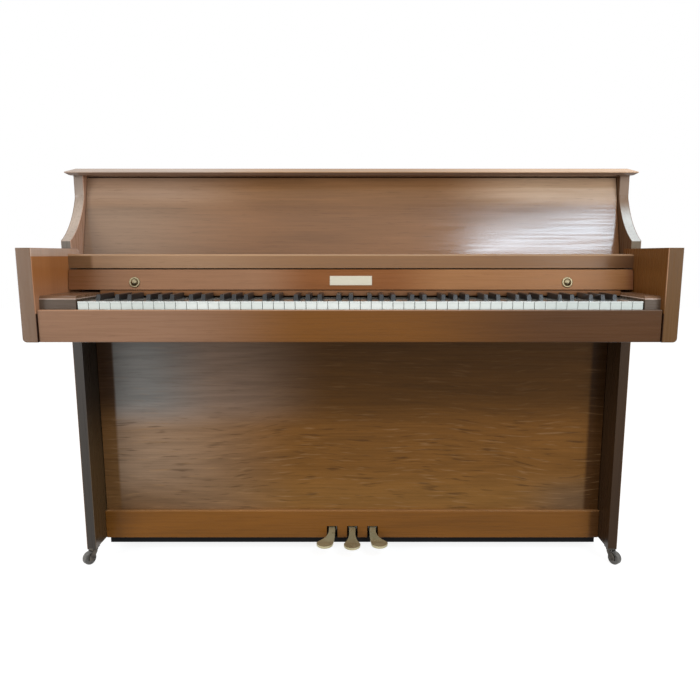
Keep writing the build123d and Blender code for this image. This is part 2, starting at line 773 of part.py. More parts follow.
def iron_plate():
    """Harp-shaped iron plate: pin field above, hitch area below, struts between."""
    end = side_inner - PLATE_END_GAP
    high = plate_high()
    body = RectangleRounded(2 * end, high - PLATE_BOTTOM, PLATE_CORNER)
    body = Pos(0, (high + PLATE_BOTTOM) / 2) * body
    inner = end - PLATE_RIM
    low = STRING_BOTTOM + BRIDGE_WIDTH / 2
    curve = treble_curve(BRIDGE_WIDTH / 2)
    edge = Polyline(curve[-1], (inner, curve[-1][1]), (inner, pin_field_low()), (-inner, pin_field_low()),
                    (-inner, low), curve[0])
    opening = make_face(edge + Spline(*curve))
    body -= opening
    x0, x1, z = bass_bridge_line()
    window = RectangleRounded(x1 - x0 + 2 * BRIDGE_WINDOW, BRIDGE_WIDTH + 2 * BRIDGE_WINDOW, BRIDGE_WINDOW)
    body -= Pos((x0 + x1) / 2, z) * window
    for x in strut_places():
        body += Pos(x, (high + PLATE_BOTTOM) / 2) * Rectangle(STRUT_WIDTH, high - PLATE_BOTTOM - PLATE_RIM)
    return prism_y(body, plate_front, plate_back)


def bass_bridge_line():
    """Ends and height of the straight bass bridge."""
    z = STRING_BOTTOM + BRIDGE_ABOVE_END
    return string_x(0, z) - BRIDGE_WIDTH / 2, string_x(BASS_COUNT - 1, z) + BRIDGE_WIDTH / 2, z


def bridges():
    """Treble bridge along the string ends and the straight bass bridge, both cut clear of the struts."""
    under = treble_curve(BRIDGE_ABOVE_END - BRIDGE_WIDTH / 2)
    over = treble_curve(BRIDGE_ABOVE_END + BRIDGE_WIDTH / 2)
    ends = Line(under[-1], over[-1]) + Line(over[0], under[0])
    band = make_face(Spline(*under) + Spline(*reversed(over)) + ends)
    seat = STRING_THICKNESS / 2 + BRIDGE_STRING_GAP
    treble = prism_y(band, string_y + seat, board_front)
    x0, x1, z = bass_bridge_line()
    bass = block(x0, x1, bass_string_y + seat, board_front, z - BRIDGE_WIDTH / 2, z + BRIDGE_WIDTH / 2)
    room = STRUT_WIDTH / 2 + BRIDGE_STRUT_GAP
    solids = []
    for bridge in (treble, bass):
        for x in strut_places():
            bridge -= block(x - room, x + room, bass_string_y, board_front + OVERCUT, PLATE_BOTTOM, lid_low)
        solids += bridge.solids()
    return group(solids)


def soundboard():
    end = side_inner - BOARD_END_GAP
    return block(-end, end, board_front, board_back, side_bottom + SILL_HEIGHT, lid_low - TOP_RAIL_HEIGHT)


def soundboard_ribs():
    """Slanting ribs glued to the back of the soundboard."""
    end = side_inner - BOARD_END_GAP - RIB_TRIM
    low = side_bottom + SILL_HEIGHT + RIB_TRIM
    high = lid_low - TOP_RAIL_HEIGHT - RIB_TRIM
    window = block(-end, end, board_back, board_back + RIB_DEPTH, low, high)
    reach = end * tan(radians(RIB_TILT))
    step = (high - low + 2 * reach) / RIB_COUNT
    ribs = []
    for number in range(RIB_COUNT):
        z = low - reach + (number + 0.5) * step
        bar = Box(4 * end, RIB_DEPTH, RIB_WIDTH)
        place = Pos(0, board_back + RIB_DEPTH / 2, z) * Rot(Y=RIB_TILT)
        ribs += (window & (place * bar)).solids()
    return group(ribs)


def back_posts():
    low = side_bottom + SILL_HEIGHT
    high = lid_low - TOP_RAIL_HEIGHT
    half = POST_WIDTH / 2
    last = side_inner - POST_INSET - half
    places = [last * (2 * number / (POST_COUNT - 1) - 1) for number in range(POST_COUNT)]
    return group(block(x - half, x + half, post_front, case_back, low, high) for x in places)


def back_rails():
    sill = block(-side_inner, side_inner, board_front, case_back, side_bottom, side_bottom + SILL_HEIGHT)
    top = block(-side_inner, side_inner, post_front, case_back, lid_low - TOP_RAIL_HEIGHT, lid_low)
    return group([sill, top])


def pin_block():
    end = side_inner - PLATE_END_GAP
    high = plate_high()
    return block(-end, end, plate_back, post_front, lid_low - TOP_RAIL_HEIGHT, high)


# Action

def hammer(note):
    """Hammer at rest, leaning back to the rest rail: round butt, shank and tapered felt head."""
    nose = string_plane(note) - STRING_THICKNESS / 2 - LET_OFF - hammer_y
    r = HAMMER_BUTT_RADIUS
    half = SHANK_THICKNESS / 2
    top = HAMMER_LENGTH + HEAD_HALF_HEIGHT
    low = HAMMER_LENGTH - HEAD_HALF_HEIGHT
    shoulder = nose - HEAD_HALF_HEIGHT
    outline = Polyline((r, 0), (half, HAMMER_BUTT_HEIGHT), (half, low), (shoulder, low), (nose, HAMMER_LENGTH),
                       (shoulder, top), (-HEAD_BACK, HAMMER_LENGTH + half), (-HEAD_BACK, low), (-half, low),
                       (-half, HAMMER_BUTT_HEIGHT), (-r, 0))
    face = make_face(outline + ThreePointArc((-r, 0), (0, -r), (r, 0)))
    piece = prism_x(face, -HAMMER_WIDTH / 2, HAMMER_WIDTH / 2)
    return Pos(note_x(note), hammer_y, hammer_z) * Rot(X=HAMMER_TILT) * piece


def damper(note):
    """Damper resting on its string: round foot, arm and felt head."""
    nearest = bass_string_y if note < BASS_COUNT + CROSSED_DAMPERS else string_y
    face_y = nearest - STRING_THICKNESS / 2 - DAMPER_STRING_GAP - damper_y
    r = DAMPER_ROUND
    half = SHANK_THICKNESS / 2
    head_low = DAMPER_ARM
    head_high = DAMPER_ARM + DAMPER_HEAD_HEIGHT
    outline = Polyline((r, 0), (half, r), (half, head_low), (face_y, head_low), (face_y, head_high),
                       (face_y - DAMPER_HEAD_DEPTH, head_high), (-half, head_low), (-half, r), (-r, 0))
    face = make_face(outline + ThreePointArc((-r, 0), (0, -r), (r, 0)))
    piece = prism_x(face, -DAMPER_WIDTH / 2, DAMPER_WIDTH / 2)
    return Pos(note_x(note), damper_y, damper_z) * piece


def action_rail_solids():
    """Main rail under the hammers, damper rail behind it and the slanting rest rail."""
    x0 = keys_left - ACTION_END_REACH - ACTION_BRACKET
    x1 = keys_right + ACTION_END_REACH + ACTION_BRACKET
    main_top = hammer_z - HAMMER_BUTT_RADIUS - ACTION_GAP
    half = MAIN_RAIL_DEPTH / 2
    main = block(x0, x1, hammer_y - half, hammer_y + half, main_top - MAIN_RAIL_HEIGHT, main_top)
    damper_top = damper_z - DAMPER_ROUND - ACTION_GAP
    half = DAMPER_RAIL_DEPTH / 2
    damping = block(x0, x1, damper_y - half, damper_y + half, damper_top - DAMPER_RAIL_HEIGHT, damper_top)
    offset = SHANK_THICKNESS / 2 + ACTION_GAP + REST_RAIL_DEPTH / 2
    rest = Pos((x0 + x1) / 2, -offset, REST_RAIL_REACH) * Box(x1 - x0, REST_RAIL_DEPTH, REST_RAIL_HEIGHT)
    rest = Pos(0, hammer_y, hammer_z) * Rot(X=HAMMER_TILT) * rest
    return [main, damping, rest]


def action_bracket(x):
    """Thin cast bracket between two hammers, carrying the rails from the keybed."""
    foot_front = key_tail + BRACKET_KEY_GAP
    foot_back = keybed_back
    lean_y = hammer_y - REST_RAIL_REACH * sin(radians(HAMMER_TILT))
    lean_z = hammer_z + REST_RAIL_REACH * cos(radians(HAMMER_TILT))
    rail_reach = REST_RAIL_DEPTH + SHANK_THICKNESS
    damper_edge = damper_y + DAMPER_RAIL_DEPTH / 2
    face = polygon((foot_front, keybed_top), (foot_back, keybed_top), (damper_edge, damper_z - DAMPER_RAIL_HEIGHT),
                   (damper_edge, damper_z), (hammer_y, damper_z + DAMPER_ROUND),
                   (lean_y + rail_reach, lean_z + REST_RAIL_HEIGHT / 2),
                   (lean_y - rail_reach, lean_z + REST_RAIL_HEIGHT / 2),
                   (lean_y - rail_reach, lean_z - REST_RAIL_HEIGHT / 2),
                   (hammer_y - MAIN_RAIL_DEPTH, hammer_z), (foot_front, hammer_z - MAIN_RAIL_HEIGHT))
    bracket = prism_x(face, x - ACTION_BRACKET / 2, x + ACTION_BRACKET / 2)
    for rail in action_rail_solids():
        bracket -= rail
    return bracket


def action_brackets():
    places = [keys_left + note * note_pitch for note in ACTION_BREAKS]
    places[0] -= ACTION_END_REACH
    places[-1] += ACTION_END_REACH
    return group(solid for x in places for solid in action_bracket(x).solids())


# Pedals

def pedal(x, lean, reach):
    """Cast pedal: level shaft with a pivot bore, sloping neck, flared head that leans to one side."""
    neck = PEDAL_NECK_WIDTH / 2
    head = PEDAL_HEAD_WIDTH / 2
    tip = toe_front - reach
    wide = tip + PEDAL_TIP_LENGTH
    neck_end = tip + PEDAL_HEAD_LENGTH
    tail = rod_y + PEDAL_TAIL
    flare = neck_end - wide
    near = neck_end - flare * PEDAL_NECK_PULL
    far = wide + flare * PEDAL_HEAD_PULL
    right = Bezier((neck, neck_end), (neck, near), (lean + head, far), (lean + head, wide))
    nose = ThreePointArc((lean + head, wide), (lean, tip), (lean - head, wide))
    left = Bezier((lean - head, wide), (lean - head, far), (-neck, near), (-neck, neck_end))
    shaft = Polyline((-neck, neck_end), (-neck, tail), (neck, tail), (neck, neck_end))
    plan = make_face(right + nose + left + shaft)
    half = PEDAL_THICKNESS / 2
    slope = toe_front + PEDAL_SLOPE_START
    tip_top = half - PEDAL_TIP_DROP
    tip_low = tip_top - PEDAL_TIP_THICKNESS
    head_top = half - PEDAL_HEAD_DROP
    head_low = head_top - PEDAL_TIP_THICKNESS
    pull = (slope - wide) / 3
    over = Bezier((slope, half), (slope - pull, half), (wide + pull, head_top), (wide, head_top))
    under = Bezier((wide, head_low), (wide + pull, head_low), (slope - pull, -half), (slope, -half))
    end = Polyline((wide, head_top), (tip, tip_top), (tip, tip_low), (wide, head_low))
    back = Polyline((slope, -half), (tail, -half), (tail, half), (slope, half))
    profile = make_face(over + end + under + back)
    side = head + abs(lean) + OVERCUT
    shape = prism_z(plan, -PEDAL_TIP_DROP - PEDAL_THICKNESS, PEDAL_THICKNESS) & prism_x(profile, -side, side)
    shape -= rod_x(PEDAL_PIN_RADIUS + RUNNING_CLEARANCE, -side, side, pedal_pivot_y, 0)
    return Pos(x, 0, pedal_pivot_z) * shape


def pedal_bracket(x):
    """Bracket on the bottom board with the pin that its pedal turns on."""
    inner = PEDAL_NECK_WIDTH / 2 + BRACKET_GAP
    outer = inner + BRACKET_WALL
    y0 = pedal_pivot_y - BRACKET_DEPTH / 2
    y1 = pedal_pivot_y + BRACKET_DEPTH / 2
    top = pedal_pivot_z + PEDAL_PIN_RADIUS + BRACKET_ABOVE_PIN
    bracket = block(x - outer, x + outer, y0, y1, bottom_board_top, bottom_board_top + BRACKET_BASE)
    bracket += block(x - outer, x - inner, y0, y1, bottom_board_top, top)
    bracket += block(x + inner, x + outer, y0, y1, bottom_board_top, top)
    return bracket + rod_x(PEDAL_PIN_RADIUS, x - outer, x + outer, pedal_pivot_y, pedal_pivot_z)


def lift_rod(x):
    """Wooden rod that a pedal's tail pushes up, with a domed foot."""
    foot = pedal_pivot_z + PEDAL_THICKNESS / 2 + ROD_GAP
    shaft = rod_z(ROD_RADIUS, x, rod_y, foot + ROD_RADIUS, keybed_top + ROD_ABOVE_KEYBED)
    return shaft + Pos(x, rod_y, foot + ROD_RADIUS) * Sphere(ROD_RADIUS)


# Casters

def caster_turn(end, sign):
    """Direction in which a caster trails, in degrees from +X."""
    lead = FRONT_CASTER_TURN if end == "front" else 0.0
    return -lead if sign > 0 else 180.0 + lead


def caster_frame(end, sign, x, y):
    return Pos(x, y, 0) * Rot(Z=caster_turn(end, sign))


def caster_fork():
    """Swivel fork with its stem and axle, trailing along +X."""
    inner = WHEEL_WIDTH / 2 + FORK_SIDE_GAP
    outer = inner + FORK_WALL
    crown_low = 2 * WHEEL_RADIUS + FORK_TOP_GAP
    crown_top = crown_low + FORK_CROWN
    fork = rod_z(FORK_CROWN_RADIUS, 0, 0, crown_low, crown_top)
    fork += rod_z(STEM_RADIUS, 0, 0, crown_low, crown_top + SWIVEL_GAP + SOCKET_THICKNESS + STEM_LENGTH)
    fork += block(-STEM_RADIUS, STEM_RADIUS, -outer, outer, crown_low, crown_top)
    eye = HUB_RADIUS
    cheek = polygon((-STEM_RADIUS, crown_top), (-STEM_RADIUS, crown_low - FORK_CROWN),
                    (CASTER_TRAIL - eye, WHEEL_RADIUS - eye), (CASTER_TRAIL + eye, WHEEL_RADIUS - eye),
                    (CASTER_TRAIL + eye, WHEEL_RADIUS + eye), (STEM_RADIUS, crown_top))
    for y0, y1 in ((-outer, -inner), (inner, outer)):
        fork += prism_y(cheek, y0, y1)
    return fork + Pos(CASTER_TRAIL, 0, WHEEL_RADIUS) * Rot(X=90) * Cylinder(AXLE_RADIUS, 2 * outer)


def caster_wheel():
    """Small wheel with a dished face and a hub, on the fork's axle."""
    half = WHEEL_WIDTH / 2
    bore = AXLE_RADIUS + RUNNING_CLEARANCE
    rim = WHEEL_RADIUS - WHEEL_EDGE * 2
    section = polygon((bore, -half), (HUB_RADIUS, -half), (HUB_RADIUS, -half + WHEEL_DISH),
                      (rim, -half + WHEEL_DISH), (rim, -half), (WHEEL_RADIUS - WHEEL_EDGE, -half),
                      (WHEEL_RADIUS, -half + WHEEL_EDGE), (WHEEL_RADIUS, half - WHEEL_EDGE),
                      (WHEEL_RADIUS - WHEEL_EDGE, half), (rim, half), (rim, half - WHEEL_DISH),
                      (HUB_RADIUS, half - WHEEL_DISH), (HUB_RADIUS, half), (bore, half))
    wheel = revolve(Plane.XZ * section, Axis.Z)
    return Pos(CASTER_TRAIL, 0, WHEEL_RADIUS) * Rot(X=90) * wheel


def caster_socket(x, y):
    """Plate under a side that guides a caster's stem."""
    half = SIDE_THICKNESS / 2
    length = SOCKET_LENGTH / 2
    low = side_bottom - SOCKET_THICKNESS
    plate = block(x - half, x + half, y - length, y + length, low, side_bottom)
    return plate - rod_z(STEM_RADIUS + RUNNING_CLEARANCE, x, y, low - OVERCUT, side_bottom + OVERCUT)


# All nodes

def keyboard_nodes():
    """Keys and hammers in four sets each: every second white key and every second black key."""
    sets = {}
    for note, (colour, place, index) in enumerate(note_order()):
        turn = "first" if place % 2 == 0 else "second"
        key = white_key(index) if colour == "white" else black_key(index)
        sets.setdefault(f"{colour}_keys_{turn}", []).append(key)
        sets.setdefault(f"{colour}_hammers_{turn}", []).append(hammer(note))
    return {name: group(solids) for name, solids in sets.items()}


def caster_nodes():
    nodes = {}
    for end, name, sign, x, y in caster_places():
        place = caster_frame(end, sign, x, y)
        nodes[f"{end}_{name}_caster_fork"] = place * caster_fork()
        nodes[f"{end}_{name}_caster_wheel"] = place * caster_wheel()
    nodes["caster_sockets"] = group(caster_socket(x, y) for _, _, _, x, y in caster_places())
    return nodes


def pedal_nodes():
    nodes = {}
    forms = ((-PEDAL_LEAN, OUTER_PEDAL_REACH), (0.0, PEDAL_REACH), (PEDAL_LEAN, OUTER_PEDAL_REACH))
    for name, x, (lean, reach) in zip(("soft", "middle", "sustain"), pedal_places(), forms):
        nodes[f"{name}_pedal"] = pedal(x, lean, reach)
        nodes[f"{name}_lift_rod"] = lift_rod(x)
    nodes["pedal_brackets"] = group(pedal_bracket(x) for x in pedal_places())
    return nodes


def all_nodes():
    nodes = {
        "left_side": mirrored(right_side()),
        "right_side": right_side(),
        "left_arm": mirrored(right_arm()),
        "right_arm": right_arm(),
        "keybed": keybed(),
        "keyslip": keyslip(),
        "left_key_block": key_block(-arm_inner, keys_left - KEY_END_GAP),
        "right_key_block": key_block(keys_right + KEY_END_GAP, arm_inner),
        "music_shelf": music_shelf(),
        "music_desk": music_desk(),
        "key_strip": key_strip(),
        "lower_panel": lower_panel(),
        "toe_board": toe_board(),
        "bottom_board": bottom_board(),
        "lid": lid(),
        "lid_hinge_fixed_leaves": group(hinge_fixed(x) for x in hinge_places()),
        "lid_hinge_moving_leaves": group(hinge_moving(x) for x in hinge_places()),
        "fallboard_apron": fallboard_apron(),
        "fallboard_panel": fallboard_panel(),
        "fallboard_tracks": group([fallboard_track(), mirrored(fallboard_track())]),
        "fallboard_knobs": group([fallboard_knob(KNOB_INSET - arm_inner), fallboard_knob(arm_inner - KNOB_INSET)]),
        "nameplate": nameplate(),
        "key_frame": key_frame(),
        "back_posts": back_posts(),
        "back_rails": back_rails(),
        "soundboard": soundboard(),
        "soundboard_ribs": soundboard_ribs(),
        "bridges": bridges(),
        "pin_block": pin_block(),
        "iron_plate": iron_plate(),
        "tuning_pins": group(tuning_pin(note) for note in range(NOTE_COUNT)),
        "strings": group(string(note) for note in range(NOTE_COUNT)),
        "action_rails": group(action_rail_solids()),
        "action_brackets": action_brackets(),
        "dampers": group(damper(note) for note in range(DAMPER_COUNT)),
    }
    nodes.update(keyboard_nodes())
    nodes.update(pedal_nodes())
    nodes.update(caster_nodes())
    return nodes


os.makedirs("parts", exist_ok=True)
for node_name, shape in all_nodes().items():
    export_step(shape, f"parts/{node_name}.step")
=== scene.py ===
"""Looks, camera and light for the upright piano. All lengths are metres, in the part's own frame."""

import math

import bmesh
import bpy
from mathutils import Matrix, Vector


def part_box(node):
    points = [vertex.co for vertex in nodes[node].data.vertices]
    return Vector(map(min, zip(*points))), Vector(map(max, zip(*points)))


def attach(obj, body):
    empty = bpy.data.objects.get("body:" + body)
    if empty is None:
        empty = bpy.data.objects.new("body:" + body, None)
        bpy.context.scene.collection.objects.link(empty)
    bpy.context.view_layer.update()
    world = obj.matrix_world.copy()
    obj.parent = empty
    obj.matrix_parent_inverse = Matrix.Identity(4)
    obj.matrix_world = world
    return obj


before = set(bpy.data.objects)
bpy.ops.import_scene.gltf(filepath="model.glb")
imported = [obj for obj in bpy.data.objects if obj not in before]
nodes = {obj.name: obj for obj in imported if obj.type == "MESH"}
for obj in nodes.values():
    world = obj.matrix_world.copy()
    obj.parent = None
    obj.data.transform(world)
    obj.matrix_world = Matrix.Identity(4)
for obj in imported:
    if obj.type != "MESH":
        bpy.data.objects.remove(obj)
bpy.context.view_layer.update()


def srgb(red, green, blue):
    """A colour written as on a screen, 0 to 255, as the linear colour that shaders take."""
    linear = []
    for value in (red, green, blue):
        share = value / 255
        linear.append(share / 12.92 if share <= 0.04045 else ((share + 0.055) / 1.055) ** 2.4)
    return (*linear, 1.0)


class Material:
    """A node material, written as a chain of short calls."""

    def __init__(self, name):
        self.material = bpy.data.materials.new(name)
        self.material.use_nodes = True
        self.tree = self.material.node_tree
        self.tree.nodes.clear()
        self.shader = self.tree.nodes.new("ShaderNodeBsdfPrincipled")
        output = self.tree.nodes.new("ShaderNodeOutputMaterial")
        self.tree.links.new(self.shader.outputs["BSDF"], output.inputs["Surface"])
        self.where = self.tree.nodes.new("ShaderNodeTexCoord").outputs["Object"]

    def put(self, socket, value):
        """Link the output of another node to a socket, or set the socket to a number or colour."""
        if isinstance(value, bpy.types.NodeSocket):
            self.tree.links.new(value, socket)
        else:
            socket.default_value = value

    def set(self, **values):
        """Give the shader's sockets their values, with underscores for the spaces in their names."""
        for key, value in values.items():
            self.put(self.shader.inputs[key.replace("_", " ")], value)

    def stretch(self, scale, offset=(0, 0, 0)):
        """The object's own coordinates, scaled along each axis or by one number along all three."""
        node = self.tree.nodes.new("ShaderNodeMapping")
        self.tree.links.new(self.where, node.inputs["Vector"])
        node.inputs["Scale"].default_value = scale if isinstance(scale, tuple) else (scale, scale, scale)
        node.inputs["Location"].default_value = offset
        return node.outputs["Vector"]

    def noise(self, vector, detail=3.0, distortion=0.0):
        """Noise of one cell per unit of the given coordinates."""
        node = self.tree.nodes.new("ShaderNodeTexNoise")
        self.tree.links.new(vector, node.inputs["Vector"])
        node.inputs["Scale"].default_value = 1.0
        node.inputs["Detail"].default_value = detail
        node.inputs["Roughness"].default_value = 0.5
        node.inputs["Distortion"].default_value = distortion
        return node.outputs["Fac"]

    def maths(self, operation, *values):
        """One step of arithmetic."""
        node = self.tree.nodes.new("ShaderNodeMath")
        node.operation = operation
        for socket, value in zip(node.inputs, values):
            self.put(socket, value)
        return node.outputs["Value"]

    def length(self, first, second):
        """The length that two lengths at right angles span."""
        squares = [self.maths("MULTIPLY", value, value) for value in (first, second)]
        return self.maths("SQRT", self.maths("ADD", *squares))

    def span(self, value, low, high, to_low=0.0, to_high=1.0, smooth=True):
        """The value mapped from one range to another, held at its ends."""
        node = self.tree.nodes.new("ShaderNodeMapRange")
        node.interpolation_type = "SMOOTHSTEP" if smooth else "LINEAR"
        for key, number in (
            ("Value", value), ("From Min", low), ("From Max", high), ("To Min", to_low), ("To Max", to_high),
        ):
            self.put(node.inputs[key], number)
        return node.outputs["Result"]

    def ramp(self, value, dark, light, low=0.35, high=0.65):
        """Two colours, with a blend between the low and the high value."""
        node = self.tree.nodes.new("ShaderNodeValToRGB")
        self.tree.links.new(value, node.inputs["Fac"])
        for element, place, colour in zip(node.color_ramp.elements, (low, high), (dark, light)):
            element.position = place
            element.color = colour
        return node.outputs["Color"]

    def mix(self, share, first, second, blend="MIX"):
        """Two colours mixed by a share from 0 to 1."""
        node = self.tree.nodes.new("ShaderNodeMix")
        node.data_type = "RGBA"
        node.blend_type = blend
        self.put(node.inputs["Factor"], share)
        self.put(node.inputs[6], first)
        self.put(node.inputs[7], second)
        return node.outputs[2]

    def axis(self, name):
        """One of the object's own coordinates."""
        node = self.tree.nodes.new("ShaderNodeSeparateXYZ")
        self.tree.links.new(self.where, node.inputs["Vector"])
        return node.outputs[name]

    def vector(self, x, y, z):
        """Three values as one vector."""
        node = self.tree.nodes.new("ShaderNodeCombineXYZ")
        for socket, value in zip(node.inputs, (x, y, z)):
            self.put(socket, value)
        return node.outputs["Vector"]

    def bump(self, height, strength, distance):
        """A fine relief of the surface."""
        node = self.tree.nodes.new("ShaderNodeBump")
        node.inputs["Strength"].default_value = strength
        node.inputs["Distance"].default_value = distance
        self.tree.links.new(height, node.inputs["Height"])
        self.tree.links.new(node.outputs["Normal"], self.shader.inputs["Normal"])


def along(axis, run, cross):
    """Scales that stretch a pattern along one axis."""
    return tuple(run if name == axis else cross for name in "XYZ")


def painted_light_or_tone(colour, **limits):
    """A stretch of board in another colour, mostly painted light or shade and on some faces the board's own
    tone: its colour, and per axis where it starts and is full.
    """
    return colour, limits


# Scales of the veneer's patterns, along the grain and across it.
FIGURE_RUN = 0.8
FIBRE_SCALES = (6.0, 210.0)
PORE_SCALES = (24.0, 560.0)
TONE_SCALE = 1.7
# How much of the veneer's change of level comes from its figure, its fibres and its slow change of tone.
FIGURE_SHARE = 0.5
FIBRE_SHARE = 0.22
TONE_SHARE = 0.28
LEVEL_SWING = 0.45
PORE_COLOUR = srgb(38, 22, 11)
PORE_LIMITS = (0.6, 0.74)
PORE_DEPTH = 0.5
VENEER_RELIEF = 0.0005

# Flat-sawn arches: how far the figure bends them, how close they lie and how clearly they show.
ARCH_BEND = 1.2
ARCH_COUNT = 30.0
ARCH_CONTRAST = 0.07

# Flecks of open grain: their scales along the board and up it, how far their rows sway,
# and the heights between which they thicken downwards.
FLECK_RUN = 12.0
FLECK_RISE = 170.0
FLECK_SWAY = 14.0
FLECK_SWAY_SCALES = (2.6, 2.6, 5.0)
FLECK_LIMITS = (0.57, 0.7)
FLECKS_THICKEN = (0.42, 0.34)
FLECKS_ABOVE = 0.3
# Each kind of fleck: its place in the noise, its strength and its colour.
DARK_FLECKS = (3.0, 0.5, srgb(58, 38, 22))
LIGHT_FLECKS = (41.0, 0.36, srgb(162, 126, 88))


def arched(wood, bands, centre_x, centre_z, half_length, half_height):
    """The figure nested in flat-sawn arches round one point of the board."""
    x = wood.maths("DIVIDE", wood.maths("SUBTRACT", wood.axis("X"), centre_x), half_length)
    z = wood.maths("DIVIDE", wood.maths("SUBTRACT", wood.axis("Z"), centre_z), half_height)
    ring = wood.maths("MULTIPLY_ADD", bands, ARCH_BEND, wood.length(x, z))
    wave = wood.maths("SINE", wood.maths("MULTIPLY", ring, ARCH_COUNT))
    calmed = wood.maths("MULTIPLY_ADD", bands, 0.5, 0.25)
    return wood.maths("MULTIPLY_ADD", wave, ARCH_CONTRAST, calmed)


def flecked(wood, colour, offset):
    """The colour with short dark and light flecks of open grain, thickest low down."""
    sway = wood.noise(wood.stretch(FLECK_SWAY_SCALES, offset), detail=1.0)
    run = wood.maths("MULTIPLY", wood.axis("X"), FLECK_RUN)
    rise = wood.maths("MULTIPLY_ADD", sway, FLECK_SWAY, wood.maths("MULTIPLY", wood.axis("Z"), FLECK_RISE))
    for start, strength, fleck_colour in (DARK_FLECKS, LIGHT_FLECKS):
        flecks = wood.noise(wood.vector(run, start, rise), detail=2.0)
        low_down = wood.span(wood.axis("Z"), *FLECKS_THICKEN, FLECKS_ABOVE * strength, strength)
        amount = wood.maths("MULTIPLY", wood.span(flecks, *FLECK_LIMITS), low_down)
        colour = wood.mix(amount, colour, fleck_colour)
    return colour


def walnut(
    name, axis, shift, colour, painted_lights_or_tones=(), gloss=0.15, roughness=0.27, figure=6.0, contrast=0.7,
    oval=None, flecks=False, painted_shade=None, relief=0.06, dull=None,
):
    """Lacquered walnut veneer: broad figure, fibres, short open pores and a slow change of tone, with
    stretches of painted light and shade laid over it.

    The shift moves the pattern, so that no two boards are cut alike.
    An oval, as (centre x, centre z, half length, half height), nests the figure in flat-sawn arches.
    A painted shade, as (from height, to height, level), is painted shade that darkens the board towards its
    top.
    A dull stretch, as (from height, to height, gloss), is a finish that has lost its shine towards its top.
    """
    wood = Material(name)
    offset = (shift, shift * 0.7, shift * 1.3)
    bands = wood.noise(wood.stretch(along(axis, FIGURE_RUN, figure), offset), distortion=1.0)
    fibres = wood.noise(wood.stretch(along(axis, *FIBRE_SCALES), offset))
    pores = wood.noise(wood.stretch(along(axis, *PORE_SCALES), offset), detail=2.0)
    tone = wood.noise(wood.stretch(TONE_SCALE, offset), detail=2.0)
    if oval:
        bands = arched(wood, bands, *oval)
    share = wood.maths("MULTIPLY_ADD", fibres, FIBRE_SHARE, wood.maths("MULTIPLY", bands, FIGURE_SHARE))
    share = wood.maths("MULTIPLY_ADD", tone, TONE_SHARE, share)
    # Painted light and shade, and on some faces the board's own tone, each laid over its stretch of the
    # board.
    for painted_or_own_colour, limits in painted_lights_or_tones:
        amount = 1.0
        for place, (start, full) in limits.items():
            amount = wood.maths("MULTIPLY", wood.span(wood.axis(place), start, full), amount)
        colour = wood.mix(amount, colour, painted_or_own_colour)
    swing = LEVEL_SWING * contrast
    level = wood.span(share, 0.36, 0.64, 1 - swing, 1 + swing, smooth=False)
    # Painted shade: the board darkened towards its top.
    if painted_shade:
        start, full, darkest = painted_shade
        level = wood.maths("MULTIPLY", level, wood.span(wood.axis("Z"), start, full, 1.0, darkest))
    colour = wood.mix(1.0, colour, level, "MULTIPLY")
    if flecks:
        colour = flecked(wood, colour, offset)
    open_pore = wood.span(pores, *PORE_LIMITS, 0.0, PORE_DEPTH * contrast)
    if dull:
        start, full, dullest = dull
        gloss = wood.span(wood.axis("Z"), start, full, gloss, dullest)
    wood.set(Base_Color=wood.mix(open_pore, colour, PORE_COLOUR), Specular_IOR_Level=gloss)
    wood.set(Roughness=wood.span(fibres, 0.3, 0.7, roughness - 0.04, roughness + 0.06))
    wood.bump(wood.maths("SUBTRACT", fibres, open_pore), relief, VENEER_RELIEF)
    return wood.material


def plain_wood(name, axis, dark, light, roughness=0.6):
    """Bare or thinly sealed timber."""
    wood = Material(name)
    rings = wood.noise(wood.stretch(along(axis, 1.2, 26.0)), detail=4.0, distortion=0.9)
    fibres = wood.noise(wood.stretch(along(axis, 9.0, 420.0)), detail=2.0)
    share = wood.maths("MULTIPLY_ADD", fibres, 0.4, wood.maths("MULTIPLY", rings, 0.6))
    wood.set(Base_Color=wood.ramp(share, dark, light, 0.36, 0.64))
    wood.set(Roughness=wood.span(fibres, 0.2, 0.8, roughness - 0.05, roughness + 0.1))
    wood.bump(fibres, 0.12, VENEER_RELIEF)
    return wood.material


def metal(name, colour, worn, roughness, metallic=1.0, grain=60.0):
    """Metal with handling marks: a slow change of colour and roughness."""
    surface = Material(name)
    patches = surface.noise(surface.stretch(grain), detail=4.0)
    fine = surface.noise(surface.stretch(900), detail=2.0)
    surface.set(Base_Color=surface.ramp(patches, colour, worn, 0.38, 0.66), Metallic=metallic)
    surface.set(Roughness=surface.span(patches, 0.3, 0.7, roughness - 0.06, roughness + 0.1))
    surface.bump(fine, 0.04, 0.0004)
    return surface.material


def paint(name, dark, light, roughness, grain=120.0, strength=0.1, gloss=0.5):
    """Paint or rubber: two close tones and a fine surface."""
    surface = Material(name)
    patches = surface.noise(surface.stretch(14))
    fine = surface.noise(surface.stretch(grain))
    share = surface.maths("MULTIPLY_ADD", fine, 0.5, surface.maths("MULTIPLY", patches, 0.5))
    surface.set(Base_Color=surface.ramp(share, dark, light), Specular_IOR_Level=gloss)
    surface.set(Roughness=surface.span(fine, 0.3, 0.7, roughness - 0.05, roughness + 0.05))
    surface.bump(fine, strength, 0.0006)
    return surface.material


# Where one material of a piece ends and the next begins: the start and the end of the seam.
KEY_COVER_END = (-0.1385, -0.1379)
HAMMER_HEAD_SEAM = (0.1005, 0.1013)
DAMPER_PAD_SEAM = (0.1765, 0.1771)
BASS_STRINGS_END = (0.1838, 0.1842)
HAMMER_AXIS = (0.150, 0.740)

# The lip of a white key, as depths below its top: a band of painted shadow and the painted highlight on the
# edge above it.
LIP_PAINTED_SHADOW = (0.0034, 0.003)
LIP_PAINTED_HIGHLIGHT = (0.0026, 0.0022)
KEY_STICK_SCALES = (380, 9, 380)
FLUFF_SCALE = 900

key_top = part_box("white_keys_first")[1][2]


